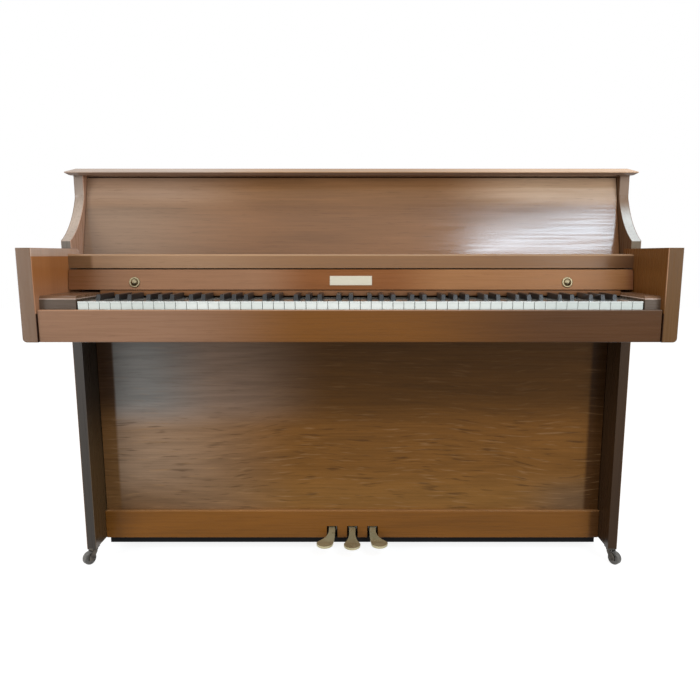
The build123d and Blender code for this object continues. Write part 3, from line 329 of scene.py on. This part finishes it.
def white_key_look():
    """White key: a moulded cover at the front, a bare wooden stick behind it."""
    key = Material("white_key_cover")
    haze = key.noise(key.stretch((9, 16, 16)))
    cover = key.ramp(haze, srgb(205, 213, 207), srgb(217, 223, 218))
    # Painted shadow under the lip and a painted highlight on its edge.
    for (start, full), colour in ((LIP_PAINTED_SHADOW, srgb(176, 184, 178)), (LIP_PAINTED_HIGHLIGHT, srgb(232, 237, 232))):
        cover = key.mix(key.span(key.axis("Z"), key_top - start, key_top - full), cover, colour)
    fibres = key.noise(key.stretch(KEY_STICK_SCALES), detail=2.0)
    stick = key.ramp(fibres, srgb(188, 150, 102), srgb(214, 180, 134))
    behind = key.span(key.axis("Y"), *KEY_COVER_END)
    key.set(Base_Color=key.mix(behind, cover, stick), Roughness=key.span(behind, 0.0, 1.0, 0.12, 0.6))
    key.set(Coat_Weight=key.span(behind, 0.0, 1.0, 1.0, 0.0), Coat_Roughness=0.04)
    return key.material


def black_key_look():
    """Black key: a polished dark cap in front, a wooden stick behind it."""
    key = Material("black_key_cap")
    haze = key.noise(key.stretch((60, 14, 60)))
    cap = key.ramp(haze, srgb(17, 16, 17), srgb(31, 29, 29))
    fibres = key.noise(key.stretch(KEY_STICK_SCALES), detail=2.0)
    stick = key.ramp(fibres, srgb(176, 138, 92), srgb(204, 170, 124))
    behind = key.span(key.axis("Y"), *KEY_COVER_END)
    key.set(Base_Color=key.mix(behind, cap, stick), Roughness=key.span(behind, 0.0, 1.0, 0.42, 0.6))
    key.set(Coat_Weight=key.span(behind, 0.0, 1.0, 0.15, 0.0), Coat_Roughness=0.3)
    return key.material


def felted(part, fluff, seam, wood, felt):
    """Finish a piece that is wood before a seam and felt behind it."""
    part.set(Base_Color=part.mix(seam, wood, felt))
    part.set(Roughness=part.span(seam, 0.0, 1.0, 0.5, 0.95))
    part.bump(fluff, 0.15, 0.0006)
    return part.material


def hammer_look():
    """Maple shank and butt, with a pressed felt head at the far end."""
    part = Material("hammer_felt_and_maple")
    fibres = part.noise(part.stretch((420, 420, 14)), detail=2.0)
    shank = part.ramp(fibres, srgb(186, 146, 98), srgb(214, 182, 136))
    fluff = part.noise(part.stretch(FLUFF_SCALE), detail=4.0)
    felt = part.ramp(fluff, srgb(204, 196, 180), srgb(230, 225, 214))
    axis_y, axis_z = HAMMER_AXIS
    across = part.maths("SUBTRACT", part.axis("Y"), axis_y)
    up = part.maths("SUBTRACT", part.axis("Z"), axis_z)
    head = part.span(part.length(across, up), *HAMMER_HEAD_SEAM)
    return felted(part, fluff, head, shank, felt)


def damper_look():
    """Damper: wooden lever and block, with a felt pad towards the strings."""
    part = Material("damper_felt_and_maple")
    fluff = part.noise(part.stretch(FLUFF_SCALE), detail=4.0)
    lever = part.ramp(fluff, srgb(180, 140, 92), srgb(206, 172, 126))
    felt = part.ramp(fluff, srgb(212, 208, 198), srgb(234, 231, 224))
    pad = part.span(part.axis("Y"), *DAMPER_PAD_SEAM)
    return felted(part, fluff, pad, lever, felt)


def string_look():
    """Steel wire, wound with copper on the bass strings, which lie in front of the others."""
    wire = Material("string_wire")
    winding = wire.noise(wire.stretch((60, 60, 2600)), detail=1.0)
    steel = wire.ramp(winding, srgb(150, 150, 152), srgb(186, 186, 188), 0.3, 0.7)
    copper = wire.ramp(winding, srgb(128, 72, 44), srgb(190, 116, 74), 0.3, 0.7)
    plain = wire.span(wire.axis("Y"), *BASS_STRINGS_END)
    wire.set(Base_Color=wire.mix(plain, copper, steel), Metallic=1.0, Roughness=0.34)
    wire.bump(winding, 0.2, 0.0004)
    return wire.material


block_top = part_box("left_key_block")[1][2]
left_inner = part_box("left_arm")[1][0]
right_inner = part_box("right_arm")[0][0]
arm_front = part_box("right_arm")[0][1]
side_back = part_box("left_side")[1][1]
slip_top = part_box("keyslip")[1][2]
shelf_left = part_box("music_shelf")[0][0]
shelf_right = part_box("music_shelf")[1][0]

# Faces and edges of the boards that carry painted light or shade, or the board's own tone, each as where it
# starts and is full.
LEFT_ARM_INSIDE = (left_inner - 0.0014, left_inner - 0.0004)
RIGHT_ARM_INSIDE = (right_inner + 0.0014, right_inner + 0.0004)
RIGHT_ARM_CORNER = (right_inner + 0.0024, right_inner + 0.0016)
ARM_FRONT = (arm_front + 0.0012, arm_front + 0.0006)
ARM_FRONT_EDGE = (-0.302, -0.298)
ARM_FOOT = (0.692, 0.688)
LEFT_SIDE_INSIDE = (-0.6826, -0.6816)
LEFT_SIDE_OUTSIDE = (-0.7034, -0.7042)
RIGHT_SIDE_INSIDE = (0.6826, 0.6816)
RIGHT_SIDE_OUTSIDE = (0.7034, 0.7042)
SIDE_BACK = (side_back - 0.004, side_back - 0.002)
SIDE_UNDER_CHEEK = (0.848, 0.846)
SIDE_LEG = (0.72, 0.6)
SLIP_TOP = (slip_top - 0.0024, slip_top - 0.0016)
BLOCK_EDGE = (block_top - 0.0078, block_top - 0.0072)
BLOCK_TOP = (block_top - 0.0062, block_top - 0.0056)
SHELF_LEFT_END = (shelf_left + 0.003, shelf_left + 0.0022)
SHELF_RIGHT_END = (shelf_right - 0.003, shelf_right - 0.0022)
SHELF_LIP = (0.8112, 0.8122)
DESK_HEAD = (0.925, 0.965)
PANEL_HEAD = (0.34, 0.44)
PANEL_LEFT = (-0.12, -0.6)
PANEL_LEFT_END = (-0.634, -0.644)
PANEL_RIGHT_END = (0.634, 0.646)
TOE_TOP = (0.1186, 0.1192)
LID_UNDERSIDE = (1.0164, 1.0154)
LID_TOP = (1.0275, 1.0279)

# Painted shadow: the dark line of shade in the gaps between boards.
PAINTED_SHADOW_LINE = srgb(52, 30, 16)
OUTER_BROWN = srgb(114, 78, 46)

looks = {
    "music_desk": walnut(
        "walnut_desk", "X", 0.0, srgb(132, 92, 58),
        [
            # Painted reflection: a greyish haze towards the left; painted light lightens the head of the
            # desk, most to the right.
            painted_light_or_tone(srgb(136, 110, 88), X=(-0.2, -0.62)),
            painted_light_or_tone(srgb(150, 108, 72), Z=DESK_HEAD),
            painted_light_or_tone(srgb(162, 132, 108), Z=DESK_HEAD, X=(-0.2, -0.5)),
            painted_light_or_tone(srgb(197, 165, 135), Z=DESK_HEAD, X=(0.2, 0.5)),
        ],
        gloss=0.55, roughness=0.15, figure=5.0, contrast=0.5, relief=0.025, dull=(0.9, 0.985, 0.2),
    ),
    "lower_panel": walnut(
        "walnut_panel", "X", 2.1, srgb(124, 83, 39),
        [
            # Painted reflection and light: lighter low down, greyer towards the left and most at the top
            # left.
            painted_light_or_tone(srgb(136, 95, 48), Z=(0.26, 0.14)),
            painted_light_or_tone(srgb(154, 126, 101), X=PANEL_LEFT),
            painted_light_or_tone(srgb(119, 89, 61), X=PANEL_LEFT, Z=(0.24, 0.12)),
            painted_light_or_tone(srgb(186, 156, 134), X=(-0.04, -0.42), Z=PANEL_HEAD),
            painted_light_or_tone(srgb(170, 167, 162), X=(-0.34, -0.56), Z=PANEL_HEAD),
            painted_light_or_tone(srgb(113, 85, 58), X=(0.42, 0.6), Z=(0.24, 0.15)),
            # Painted reflection of the sides: darker bands at both ends.
            painted_light_or_tone(srgb(121, 86, 50), X=PANEL_LEFT_END),
            painted_light_or_tone(srgb(86, 60, 40), X=PANEL_LEFT_END, Z=(0.36, 0.46)),
            painted_light_or_tone(srgb(76, 48, 22), X=PANEL_RIGHT_END),
        ],
        gloss=0.07, figure=9.0, contrast=0.5, oval=(0.1, 0.27, 0.8, 0.17), flecks=True,
        # Painted shade: the top of the panel darkened.
        painted_shade=(0.32, 0.45, 0.45),
    ),
    "music_shelf": walnut(
        "walnut_shelf", "X", 3.3, srgb(139, 99, 63),
        [
            # Painted light: lighter and greyer towards the left, with painted reflection of the arms
            # darkening both ends.
            painted_light_or_tone(srgb(157, 122, 92), X=(-0.05, -0.5)),
            painted_light_or_tone(srgb(118, 84, 54), X=(-0.61, -0.622)),
            painted_light_or_tone(srgb(106, 72, 46), X=(0.56, 0.66)),
            # Painted highlight along the lip, and painted shadow lines in the gaps at both ends.
            painted_light_or_tone(srgb(176, 138, 104), Z=SHELF_LIP),
            painted_light_or_tone(PAINTED_SHADOW_LINE, X=SHELF_LEFT_END),
            painted_light_or_tone(PAINTED_SHADOW_LINE, X=SHELF_RIGHT_END),
        ],
        gloss=0.22, roughness=0.2, contrast=0.4,
    ),
    "keyslip": walnut(
        "walnut_keyslip", "X", 4.7, srgb(112, 68, 20),
        [
            # Painted light: lighter towards the left and darker towards the right, with a painted highlight
            # along the top edge.
            painted_light_or_tone(srgb(138, 103, 79), X=(-0.08, -0.42)),
            painted_light_or_tone(srgb(78, 47, 19), X=(0.1, 0.45)),
            painted_light_or_tone(srgb(164, 124, 96), Z=SLIP_TOP),
            painted_light_or_tone(srgb(108, 90, 78), Z=SLIP_TOP, X=(0.1, 0.6)),
        ],
        contrast=0.4,
    ),
    "toe_board": walnut(
        "walnut_toe_board", "X", 5.9, srgb(126, 80, 30),
        [
            # Painted shadow at the right end and a painted highlight along the top ledge.
            painted_light_or_tone(srgb(92, 58, 26), X=(0.648, 0.662)),
            painted_light_or_tone(srgb(180, 130, 82), Z=TOE_TOP),
        ],
        contrast=0.5,
    ),
    "lid": walnut(
        "walnut_lid", "X", 7.2, srgb(192, 148, 106),
        [
            # Painted light: greyer towards the left and paler towards the right, with painted shade on the
            # underside; the top edge is darker.
            painted_light_or_tone(srgb(184, 160, 142), X=(-0.15, -0.42)),
            painted_light_or_tone(srgb(232, 190, 152), X=(0.1, 0.45)),
            painted_light_or_tone(srgb(124, 100, 84), Z=LID_UNDERSIDE),
            painted_light_or_tone(srgb(140, 99, 64), Z=LID_TOP),
        ],
        gloss=0.4, roughness=0.2, contrast=0.5,
    ),
    "fallboard": walnut(
        "walnut_fallboard", "X", 8.8, srgb(128, 78, 40),
        [
            # Painted light: lighter either side of the middle, and painted reflection of the arms darkening
            # both ends.
            painted_light_or_tone(srgb(150, 109, 80), X=(-0.08, -0.24)),
            painted_light_or_tone(srgb(150, 103, 64), X=(0.08, 0.24)),
            painted_light_or_tone(srgb(126, 82, 50), X=(-0.58, -0.64)),
            painted_light_or_tone(srgb(112, 68, 46), X=(0.645, 0.68)),
        ],
        contrast=0.4,
    ),
    "key_blocks": walnut(
        # Painted shade: the dark grey of the fronts; a painted highlight along the top edge and painted light
        # on the top.
        "walnut_key_blocks", "X", 9.4, srgb(86, 71, 58),
        [
            painted_light_or_tone(srgb(206, 180, 164), Z=BLOCK_EDGE),
            painted_light_or_tone(srgb(120, 89, 66), Z=BLOCK_TOP),
        ],
        gloss=0.3, contrast=0.4,
    ),
    "key_strip": walnut("walnut_key_strip", "X", 10.3, srgb(128, 86, 54), contrast=0.5),
    "left_side": walnut(
        # Painted reflection: the pale grey of the front edge and sweep.
        "walnut_left_side", "Z", 11.0, srgb(194, 174, 157),
        [
            # The painted reflection gives way to brown at the top; painted shade under the cheek and on the
            # legs, painted light on the inner face, most low on the legs.
            painted_light_or_tone(srgb(142, 123, 108), Z=(0.92, 1.0)),
            painted_light_or_tone(srgb(104, 93, 82), Z=SIDE_UNDER_CHEEK),
            painted_light_or_tone(srgb(194, 153, 126), X=LEFT_SIDE_INSIDE),
            painted_light_or_tone(srgb(48, 41, 34), Z=SIDE_LEG),
            painted_light_or_tone(srgb(86, 67, 43), X=LEFT_SIDE_INSIDE, Z=(0.5, 0.2)),
            # The walnut's own brown on the outer face and the back edge.
            painted_light_or_tone(OUTER_BROWN, X=LEFT_SIDE_OUTSIDE),
            painted_light_or_tone(OUTER_BROWN, Y=SIDE_BACK),
        ],
        gloss=0.4, roughness=0.3, contrast=0.4,
    ),
    "right_side": walnut(
        # Painted highlight: the near-white of the sweep's front edge stands in for a glint.
        "walnut_right_side", "Z", 11.6, srgb(214, 214, 210),
        [
            # The painted highlight gives way to brown at the top; painted shade under the cheek, on the inner
            # face and on the legs.
            painted_light_or_tone(srgb(136, 112, 93), Z=(0.9, 0.95)),
            painted_light_or_tone(srgb(112, 98, 80), Z=SIDE_UNDER_CHEEK),
            painted_light_or_tone(srgb(90, 64, 42), X=RIGHT_SIDE_INSIDE),
            painted_light_or_tone(srgb(60, 42, 26), Z=SIDE_LEG),
            # The walnut's own brown on the outer face and the back edge.
            painted_light_or_tone(OUTER_BROWN, X=RIGHT_SIDE_OUTSIDE),
            painted_light_or_tone(OUTER_BROWN, Y=SIDE_BACK),
        ],
        gloss=0.15, roughness=0.3, contrast=0.4,
    ),
    "left_arm": walnut(
        "walnut_left_arm", "Z", 12.6, srgb(109, 79, 53),
        [
            painted_light_or_tone(srgb(118, 80, 48), Y=ARM_FRONT_EDGE),
            # Painted light on the inner face, most low down and in a band along its top, with a painted
            # shadow line at its foot.
            painted_light_or_tone(srgb(174, 112, 62), X=LEFT_ARM_INSIDE),
            painted_light_or_tone(srgb(182, 130, 96), X=LEFT_ARM_INSIDE, Z=(0.78, 0.7)),
            painted_light_or_tone(srgb(200, 168, 146), X=LEFT_ARM_INSIDE, Z=(0.8106, 0.8118)),
            painted_light_or_tone(PAINTED_SHADOW_LINE, X=LEFT_ARM_INSIDE, Z=ARM_FOOT),
        ],
        gloss=0.5, roughness=0.18, contrast=0.25,
    ),
    "right_arm": walnut(
        "walnut_right_arm", "Z", 13.4, srgb(101, 70, 37),
        [
            painted_light_or_tone(srgb(116, 78, 46), Y=ARM_FRONT_EDGE),
            painted_light_or_tone(srgb(108, 68, 30), X=RIGHT_ARM_INSIDE),
            # Painted shadow line at the foot of the inner face, and a painted highlight on the corner of the
            # front.
            painted_light_or_tone(PAINTED_SHADOW_LINE, X=RIGHT_ARM_INSIDE, Z=ARM_FOOT),
            painted_light_or_tone(srgb(164, 122, 92), X=RIGHT_ARM_CORNER, Y=ARM_FRONT, Z=(0.69, 0.75)),
        ],
        contrast=0.25,
    ),
    "keybed": plain_wood("keybed_board", "X", srgb(64, 44, 29), srgb(96, 70, 47)),
    "bottom_board": paint("black_board", srgb(9, 9, 11), srgb(20, 19, 20), 0.6, gloss=0.1),
    "back_posts": plain_wood("back_timber", "Z", srgb(150, 116, 80), srgb(190, 156, 114)),
    "rail_wood": plain_wood("rail_timber", "X", srgb(146, 112, 76), srgb(186, 150, 108)),
    "spruce": plain_wood("soundboard_spruce", "X", srgb(184, 142, 88), srgb(212, 174, 120), 0.4),
    "maple": plain_wood("action_maple", "X", srgb(186, 152, 108), srgb(216, 188, 148), 0.5),
    "hammers": hammer_look(),
    "dampers": damper_look(),
    "strings": string_look(),
    "white_keys": white_key_look(),
    "black_keys": black_key_look(),
    "iron_plate": paint("plate_gold", srgb(150, 116, 54), srgb(178, 142, 76), 0.38, 260.0, 0.12),
    "steel": metal("steel", srgb(150, 150, 152), srgb(188, 188, 190), 0.3),
    "brass": metal("brass", srgb(118, 107, 84), srgb(162, 150, 121), 0.36),
    "pedals": metal("pedal_brass", srgb(178, 168, 132), srgb(196, 187, 152), 0.3, 0.5, 25.0),
    "nameplate": metal("bare_plate", srgb(204, 196, 175), srgb(208, 200, 180), 0.55, metallic=0.1),
    "caster_iron": metal("caster_iron", srgb(58, 55, 52), srgb(98, 92, 84), 0.4),
    "caster_wheels": paint("caster_wheel", srgb(84, 82, 78), srgb(118, 114, 108), 0.45),
}

# The nodes that share a look. Every other node wears the look of its own name.
shared = {
    "fallboard": ("fallboard_apron", "fallboard_panel"),
    "key_blocks": ("left_key_block", "right_key_block"),
    "rail_wood": ("back_rails", "pin_block"),
    "spruce": ("soundboard", "soundboard_ribs"),
    "maple": ("key_frame", "bridges", "action_rails", "soft_lift_rod", "middle_lift_rod", "sustain_lift_rod"),
    "hammers": ("white_hammers_first", "white_hammers_second", "black_hammers_first", "black_hammers_second"),
    "white_keys": ("white_keys_first", "white_keys_second"),
    "black_keys": ("black_keys_first", "black_keys_second"),
    "steel": ("tuning_pins", "action_brackets", "pedal_brackets"),
    "brass": ("lid_hinge_fixed_leaves", "lid_hinge_moving_leaves", "fallboard_knobs"),
    "pedals": ("soft_pedal", "middle_pedal", "sustain_pedal"),
    "caster_iron": (
        "fallboard_tracks", "caster_sockets", "front_left_caster_fork", "front_right_caster_fork",
        "rear_left_caster_fork", "rear_right_caster_fork",
    ),
    "caster_wheels": (
        "front_left_caster_wheel", "front_right_caster_wheel",
        "rear_left_caster_wheel", "rear_right_caster_wheel",
    ),
}
look_of = {name: look for look, names in shared.items() for name in names}

for name, node in nodes.items():
    node.data.materials.clear()
    node.data.materials.append(looks[look_of.get(name, name)])

EDGE_ROUND = {
    "lid": 0.0012, "music_desk": 0.0008, "music_shelf": 0.001, "lower_panel": 0.001, "toe_board": 0.0014,
    "keyslip": 0.0016, "left_arm": 0.0016, "right_arm": 0.0016, "left_side": 0.0012, "right_side": 0.0012,
    "left_key_block": 0.0012, "right_key_block": 0.0012, "fallboard_apron": 0.0012, "key_strip": 0.001,
    "white_keys_first": 0.0006, "white_keys_second": 0.0006,
    "black_keys_first": 0.0008, "black_keys_second": 0.0008,
    "bottom_board": 0.001, "back_posts": 0.002, "back_rails": 0.002, "nameplate": 0.0003,
    "soft_pedal": 0.0012, "middle_pedal": 0.0012, "sustain_pedal": 0.0012,
}
EDGE_SEGMENTS = 2
EDGE_ANGLE = math.radians(35)
WELD_DISTANCE = 0.00002

for name, width in EDGE_ROUND.items():
    part = nodes[name]
    weld = part.modifiers.new("weld", "WELD")
    weld.merge_threshold = WELD_DISTANCE
    bevel = part.modifiers.new("edge", "BEVEL")
    bevel.width = width
    bevel.segments = EDGE_SEGMENTS
    bevel.limit_method = "ANGLE"
    bevel.angle_limit = EDGE_ANGLE
    bevel.use_clamp_overlap = True
    bevel.harden_normals = True


def piece_from(name, mesh, look, body):
    """A finished detail: a mesh with its material, carried by one body."""
    bmesh.ops.recalc_face_normals(mesh, faces=mesh.faces)
    data = bpy.data.meshes.new(name)
    mesh.to_mesh(data)
    mesh.free()
    data.materials.append(looks[look])
    piece = bpy.data.objects.new(name, data)
    bpy.context.scene.collection.objects.link(piece)
    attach(piece, body)


def frame_across(normal):
    """Two directions that lie across a given one."""
    first = Vector((1, 0, 0)) if abs(normal.x) < 0.9 else Vector((0, 0, 1))
    second = normal.cross(first).normalized()
    return second.cross(normal), second


SCREW_RADIUS = 0.0036
SCREW_HEIGHT = 0.0012
SCREW_FIRST_TURN = 0.7
SCREW_NEXT_TURN = 1.9
# The slot's half width as a share of the radius, and its floor as a share of the head's height.
SLOT_SHARE = 0.22
SLOT_FLOOR = 0.3
# The dome's rims, as shares of the head's radius and height.
DOME_RIMS = ((1.0, 0.0), (0.92, 0.55), (0.62, 0.95))
DOME_STEPS = 10


def add_slotted_head(mesh, centre, normal, turn):
    """One domed screw head: two halves with an open slot between them, over a floor."""
    across, up = frame_across(normal)
    slot = (math.cos(turn) * across + math.sin(turn) * up).normalized()
    side = normal.cross(slot)
    start = math.asin(SLOT_SHARE)
    for sign in (1, -1):
        rims = []
        for share, lift in DOME_RIMS:
            rim = []
            for step in range(DOME_STEPS + 1):
                angle = start + (math.pi - 2 * start) * step / DOME_STEPS
                out = max(share * math.sin(angle), SLOT_SHARE)
                flat = share * math.cos(angle) * slot + sign * out * side
                rim.append(mesh.verts.new(centre + SCREW_RADIUS * flat + lift * SCREW_HEIGHT * normal))
            rims.append(rim)
        for low, high in zip(rims, rims[1:]):
            for i in range(DOME_STEPS):
                mesh.faces.new((low[i], low[i + 1], high[i + 1], high[i]))
            mesh.faces.new((low[-1], low[0], high[0], high[-1]))
        mesh.faces.new(rims[-1])
    half_length = math.cos(start) * SCREW_RADIUS * slot
    half_width = SLOT_SHARE * SCREW_RADIUS * side
    floor_middle = centre + SLOT_FLOOR * SCREW_HEIGHT * normal
    corners = ((-1, -1), (1, -1), (1, 1), (-1, 1))
    mesh.faces.new([mesh.verts.new(floor_middle + a * half_length + b * half_width) for a, b in corners])


HINGE_PLACES = (-0.5, 0.0, 0.5)
HINGE_FACE = 0.302
HINGE_NORMAL = Vector((0, 1, 0))
HINGE_SCREWS = (-0.025, 0.0, 0.025)
FIXED_LEAF_MIDDLE = 0.998
MOVING_LEAF_MIDDLE = 1.0205

for leaf, height, body in (("fixed", FIXED_LEAF_MIDDLE, "case"), ("moving", MOVING_LEAF_MIDDLE, "lid")):
    heads = bmesh.new()
    places = [Vector((x + dx, HINGE_FACE, height)) for x in HINGE_PLACES for dx in HINGE_SCREWS]
    for index, place in enumerate(places):
        add_slotted_head(heads, place, HINGE_NORMAL, SCREW_FIRST_TURN + SCREW_NEXT_TURN * index)
    piece_from("hinge_screws_" + leaf, heads, "brass", body)


def islands(data):
    """The middle of every loose block of a mesh, from left to right."""
    mesh = bmesh.new()
    mesh.from_mesh(data)
    bmesh.ops.remove_doubles(mesh, verts=mesh.verts, dist=WELD_DISTANCE)
    middles = []
    left = set(mesh.verts)
    while left:
        group = {left.pop()}
        edge = set(group)
        while edge:
            edge = {end for vert in edge for link in vert.link_edges for end in link.verts} - group
            group |= edge
        left -= group
        middles.append(sum((vert.co for vert in group), Vector()) / len(group))
    mesh.free()
    return sorted(middles, key=lambda middle: middle.x)


COIL_RADIUS = 0.0051
COIL_TURNS = 3
COIL_STEPS = 16
COIL_PITCH = 0.0012
COIL_FRONT = 0.1835
WIRE_RADIUS = 0.0005
WIRE_SIDES = 5


def add_coil(mesh, x, z):
    """The wire's turns round one tuning pin."""
    rings = []
    for step in range(COIL_TURNS * COIL_STEPS + 1):
        angle = 2 * math.pi * step / COIL_STEPS
        out = Vector((math.cos(angle), 0, math.sin(angle)))
        centre = Vector((x, COIL_FRONT + COIL_PITCH * step / COIL_STEPS, z)) + COIL_RADIUS * out
        ring = []
        for side in range(WIRE_SIDES):
            turn = 2 * math.pi * side / WIRE_SIDES
            place = centre + WIRE_RADIUS * (math.cos(turn) * out + math.sin(turn) * Vector((0, 1, 0)))
            ring.append(mesh.verts.new(place))
        rings.append(ring)
    for low, high in zip(rings, rings[1:]):
        for i in range(WIRE_SIDES):
            j = (i + 1) % WIRE_SIDES
            mesh.faces.new((low[i], low[j], high[j], high[i]))
    mesh.faces.new(rings[0])
    mesh.faces.new(rings[-1])


coils = bmesh.new()
for middle in islands(nodes["tuning_pins"].data):
    add_coil(coils, middle.x, middle.z)
for face in coils.faces:
    face.smooth = True
piece_from("string_coils", coils, "steel", "case")

# The picture's size and the point of it that the lens faces, in pixels. The lens is in millimetres.
IMAGE_SIZE = 700
PRINCIPAL_POINT = (361.0, 380.0)
SENSOR_WIDTH = 36.0
LENS = 36.0
CAMERA_PLACE = Vector((0.024, -1.8056, 0.8139))
CAMERA_TILT = math.radians(79.875)

camera_data = bpy.data.cameras.new("camera")
camera_data.sensor_width = SENSOR_WIDTH
camera_data.lens = LENS
camera_data.shift_x = (IMAGE_SIZE / 2 - PRINCIPAL_POINT[0]) / IMAGE_SIZE
camera_data.shift_y = (PRINCIPAL_POINT[1] - IMAGE_SIZE / 2) / IMAGE_SIZE
camera = bpy.data.objects.new("camera", camera_data)
camera.location = CAMERA_PLACE
camera.rotation_euler = (CAMERA_TILT, 0, 0)
bpy.context.scene.collection.objects.link(camera)
bpy.context.scene.camera = camera


def softbox(name, place, target, size, power, colour=(1, 1, 1)):
    """A rectangular lamp that faces a point."""
    data = bpy.data.lights.new(name, "AREA")
    data.shape = "RECTANGLE"
    data.size, data.size_y = size
    data.energy = power
    data.color = colour
    lamp = bpy.data.objects.new(name, data)
    lamp.location = place
    lamp.rotation_euler = (Vector(target) - Vector(place)).to_track_quat("-Z", "Y").to_euler()
    bpy.context.scene.collection.objects.link(lamp)


softbox("window_right", (1.2, -2.3, 2.46), (0.4, 0.0, 0.85), (0.95, 0.28), 17, (0.72, 0.87, 1.0))
softbox("room_right", (1.9, -3.0, 1.3), (0.2, 0.0, 0.7), (1.6, 1.4), 28)
softbox("wall_left", (-2.6, -2.4, 1.2), (-0.4, 0.0, 0.6), (1.6, 2.0), 40)
softbox("room_front", (0.0, -4.6, 0.9), (0.0, 0.0, 0.7), (3.0, 1.2), 14)
softbox("overhead", (-0.2, -0.4, 3.2), (0.0, 0.0, 0.6), (2.5, 2.0), 10)

WHITE = (1, 1, 1, 1)
WORLD_LIGHT = 0.52
FLOOR_REACH = 9
FLOOR_GREY = (0.4, 0.4, 0.4, 1)
FLOOR_GLOW = 0.86


def seen_directly(tree):
    """1 for what the camera sees, also mirrored or through glass, and 0 for light on the object."""
    path = tree.nodes.new("ShaderNodeLightPath")
    seen = path.outputs["Is Camera Ray"]
    for ray in ("Is Glossy Ray", "Is Transmission Ray"):
        either = tree.nodes.new("ShaderNodeMath")
        either.operation = "MAXIMUM"
        tree.links.new(seen, either.inputs[0])
        tree.links.new(path.outputs[ray], either.inputs[1])
        seen = either.outputs["Value"]
    return seen


world = bpy.data.worlds.new("studio")
bpy.context.scene.world = world
world.use_nodes = True
tree = world.node_tree
tree.nodes.clear()
strength = tree.nodes.new("ShaderNodeMapRange")
strength.inputs["To Min"].default_value = WORLD_LIGHT
strength.inputs["To Max"].default_value = 1.0
tree.links.new(seen_directly(tree), strength.inputs["Value"])
background = tree.nodes.new("ShaderNodeBackground")
background.inputs["Color"].default_value = WHITE
tree.links.new(strength.outputs["Result"], background.inputs["Strength"])
world_output = tree.nodes.new("ShaderNodeOutputWorld")
tree.links.new(background.outputs["Background"], world_output.inputs["Surface"])

floor_corners = [(x * FLOOR_REACH, y * FLOOR_REACH, 0) for x, y in ((-1, -1), (1, -1), (1, 1), (-1, 1))]
floor_mesh = bpy.data.meshes.new("floor")
floor_mesh.from_pydata(floor_corners, [], [(0, 1, 2, 3)])
floor = bpy.data.objects.new("floor", floor_mesh)
bpy.context.scene.collection.objects.link(floor)
pale = Material("pale_floor")
pale.set(Base_Color=FLOOR_GREY, Roughness=0.9, Specular_IOR_Level=0.0, Emission_Color=WHITE)
pale.set(Emission_Strength=pale.maths("MULTIPLY", seen_directly(pale.tree), FLOOR_GLOW))
floor_mesh.materials.append(pale.material)

bpy.context.scene.view_settings.view_transform = "Standard"
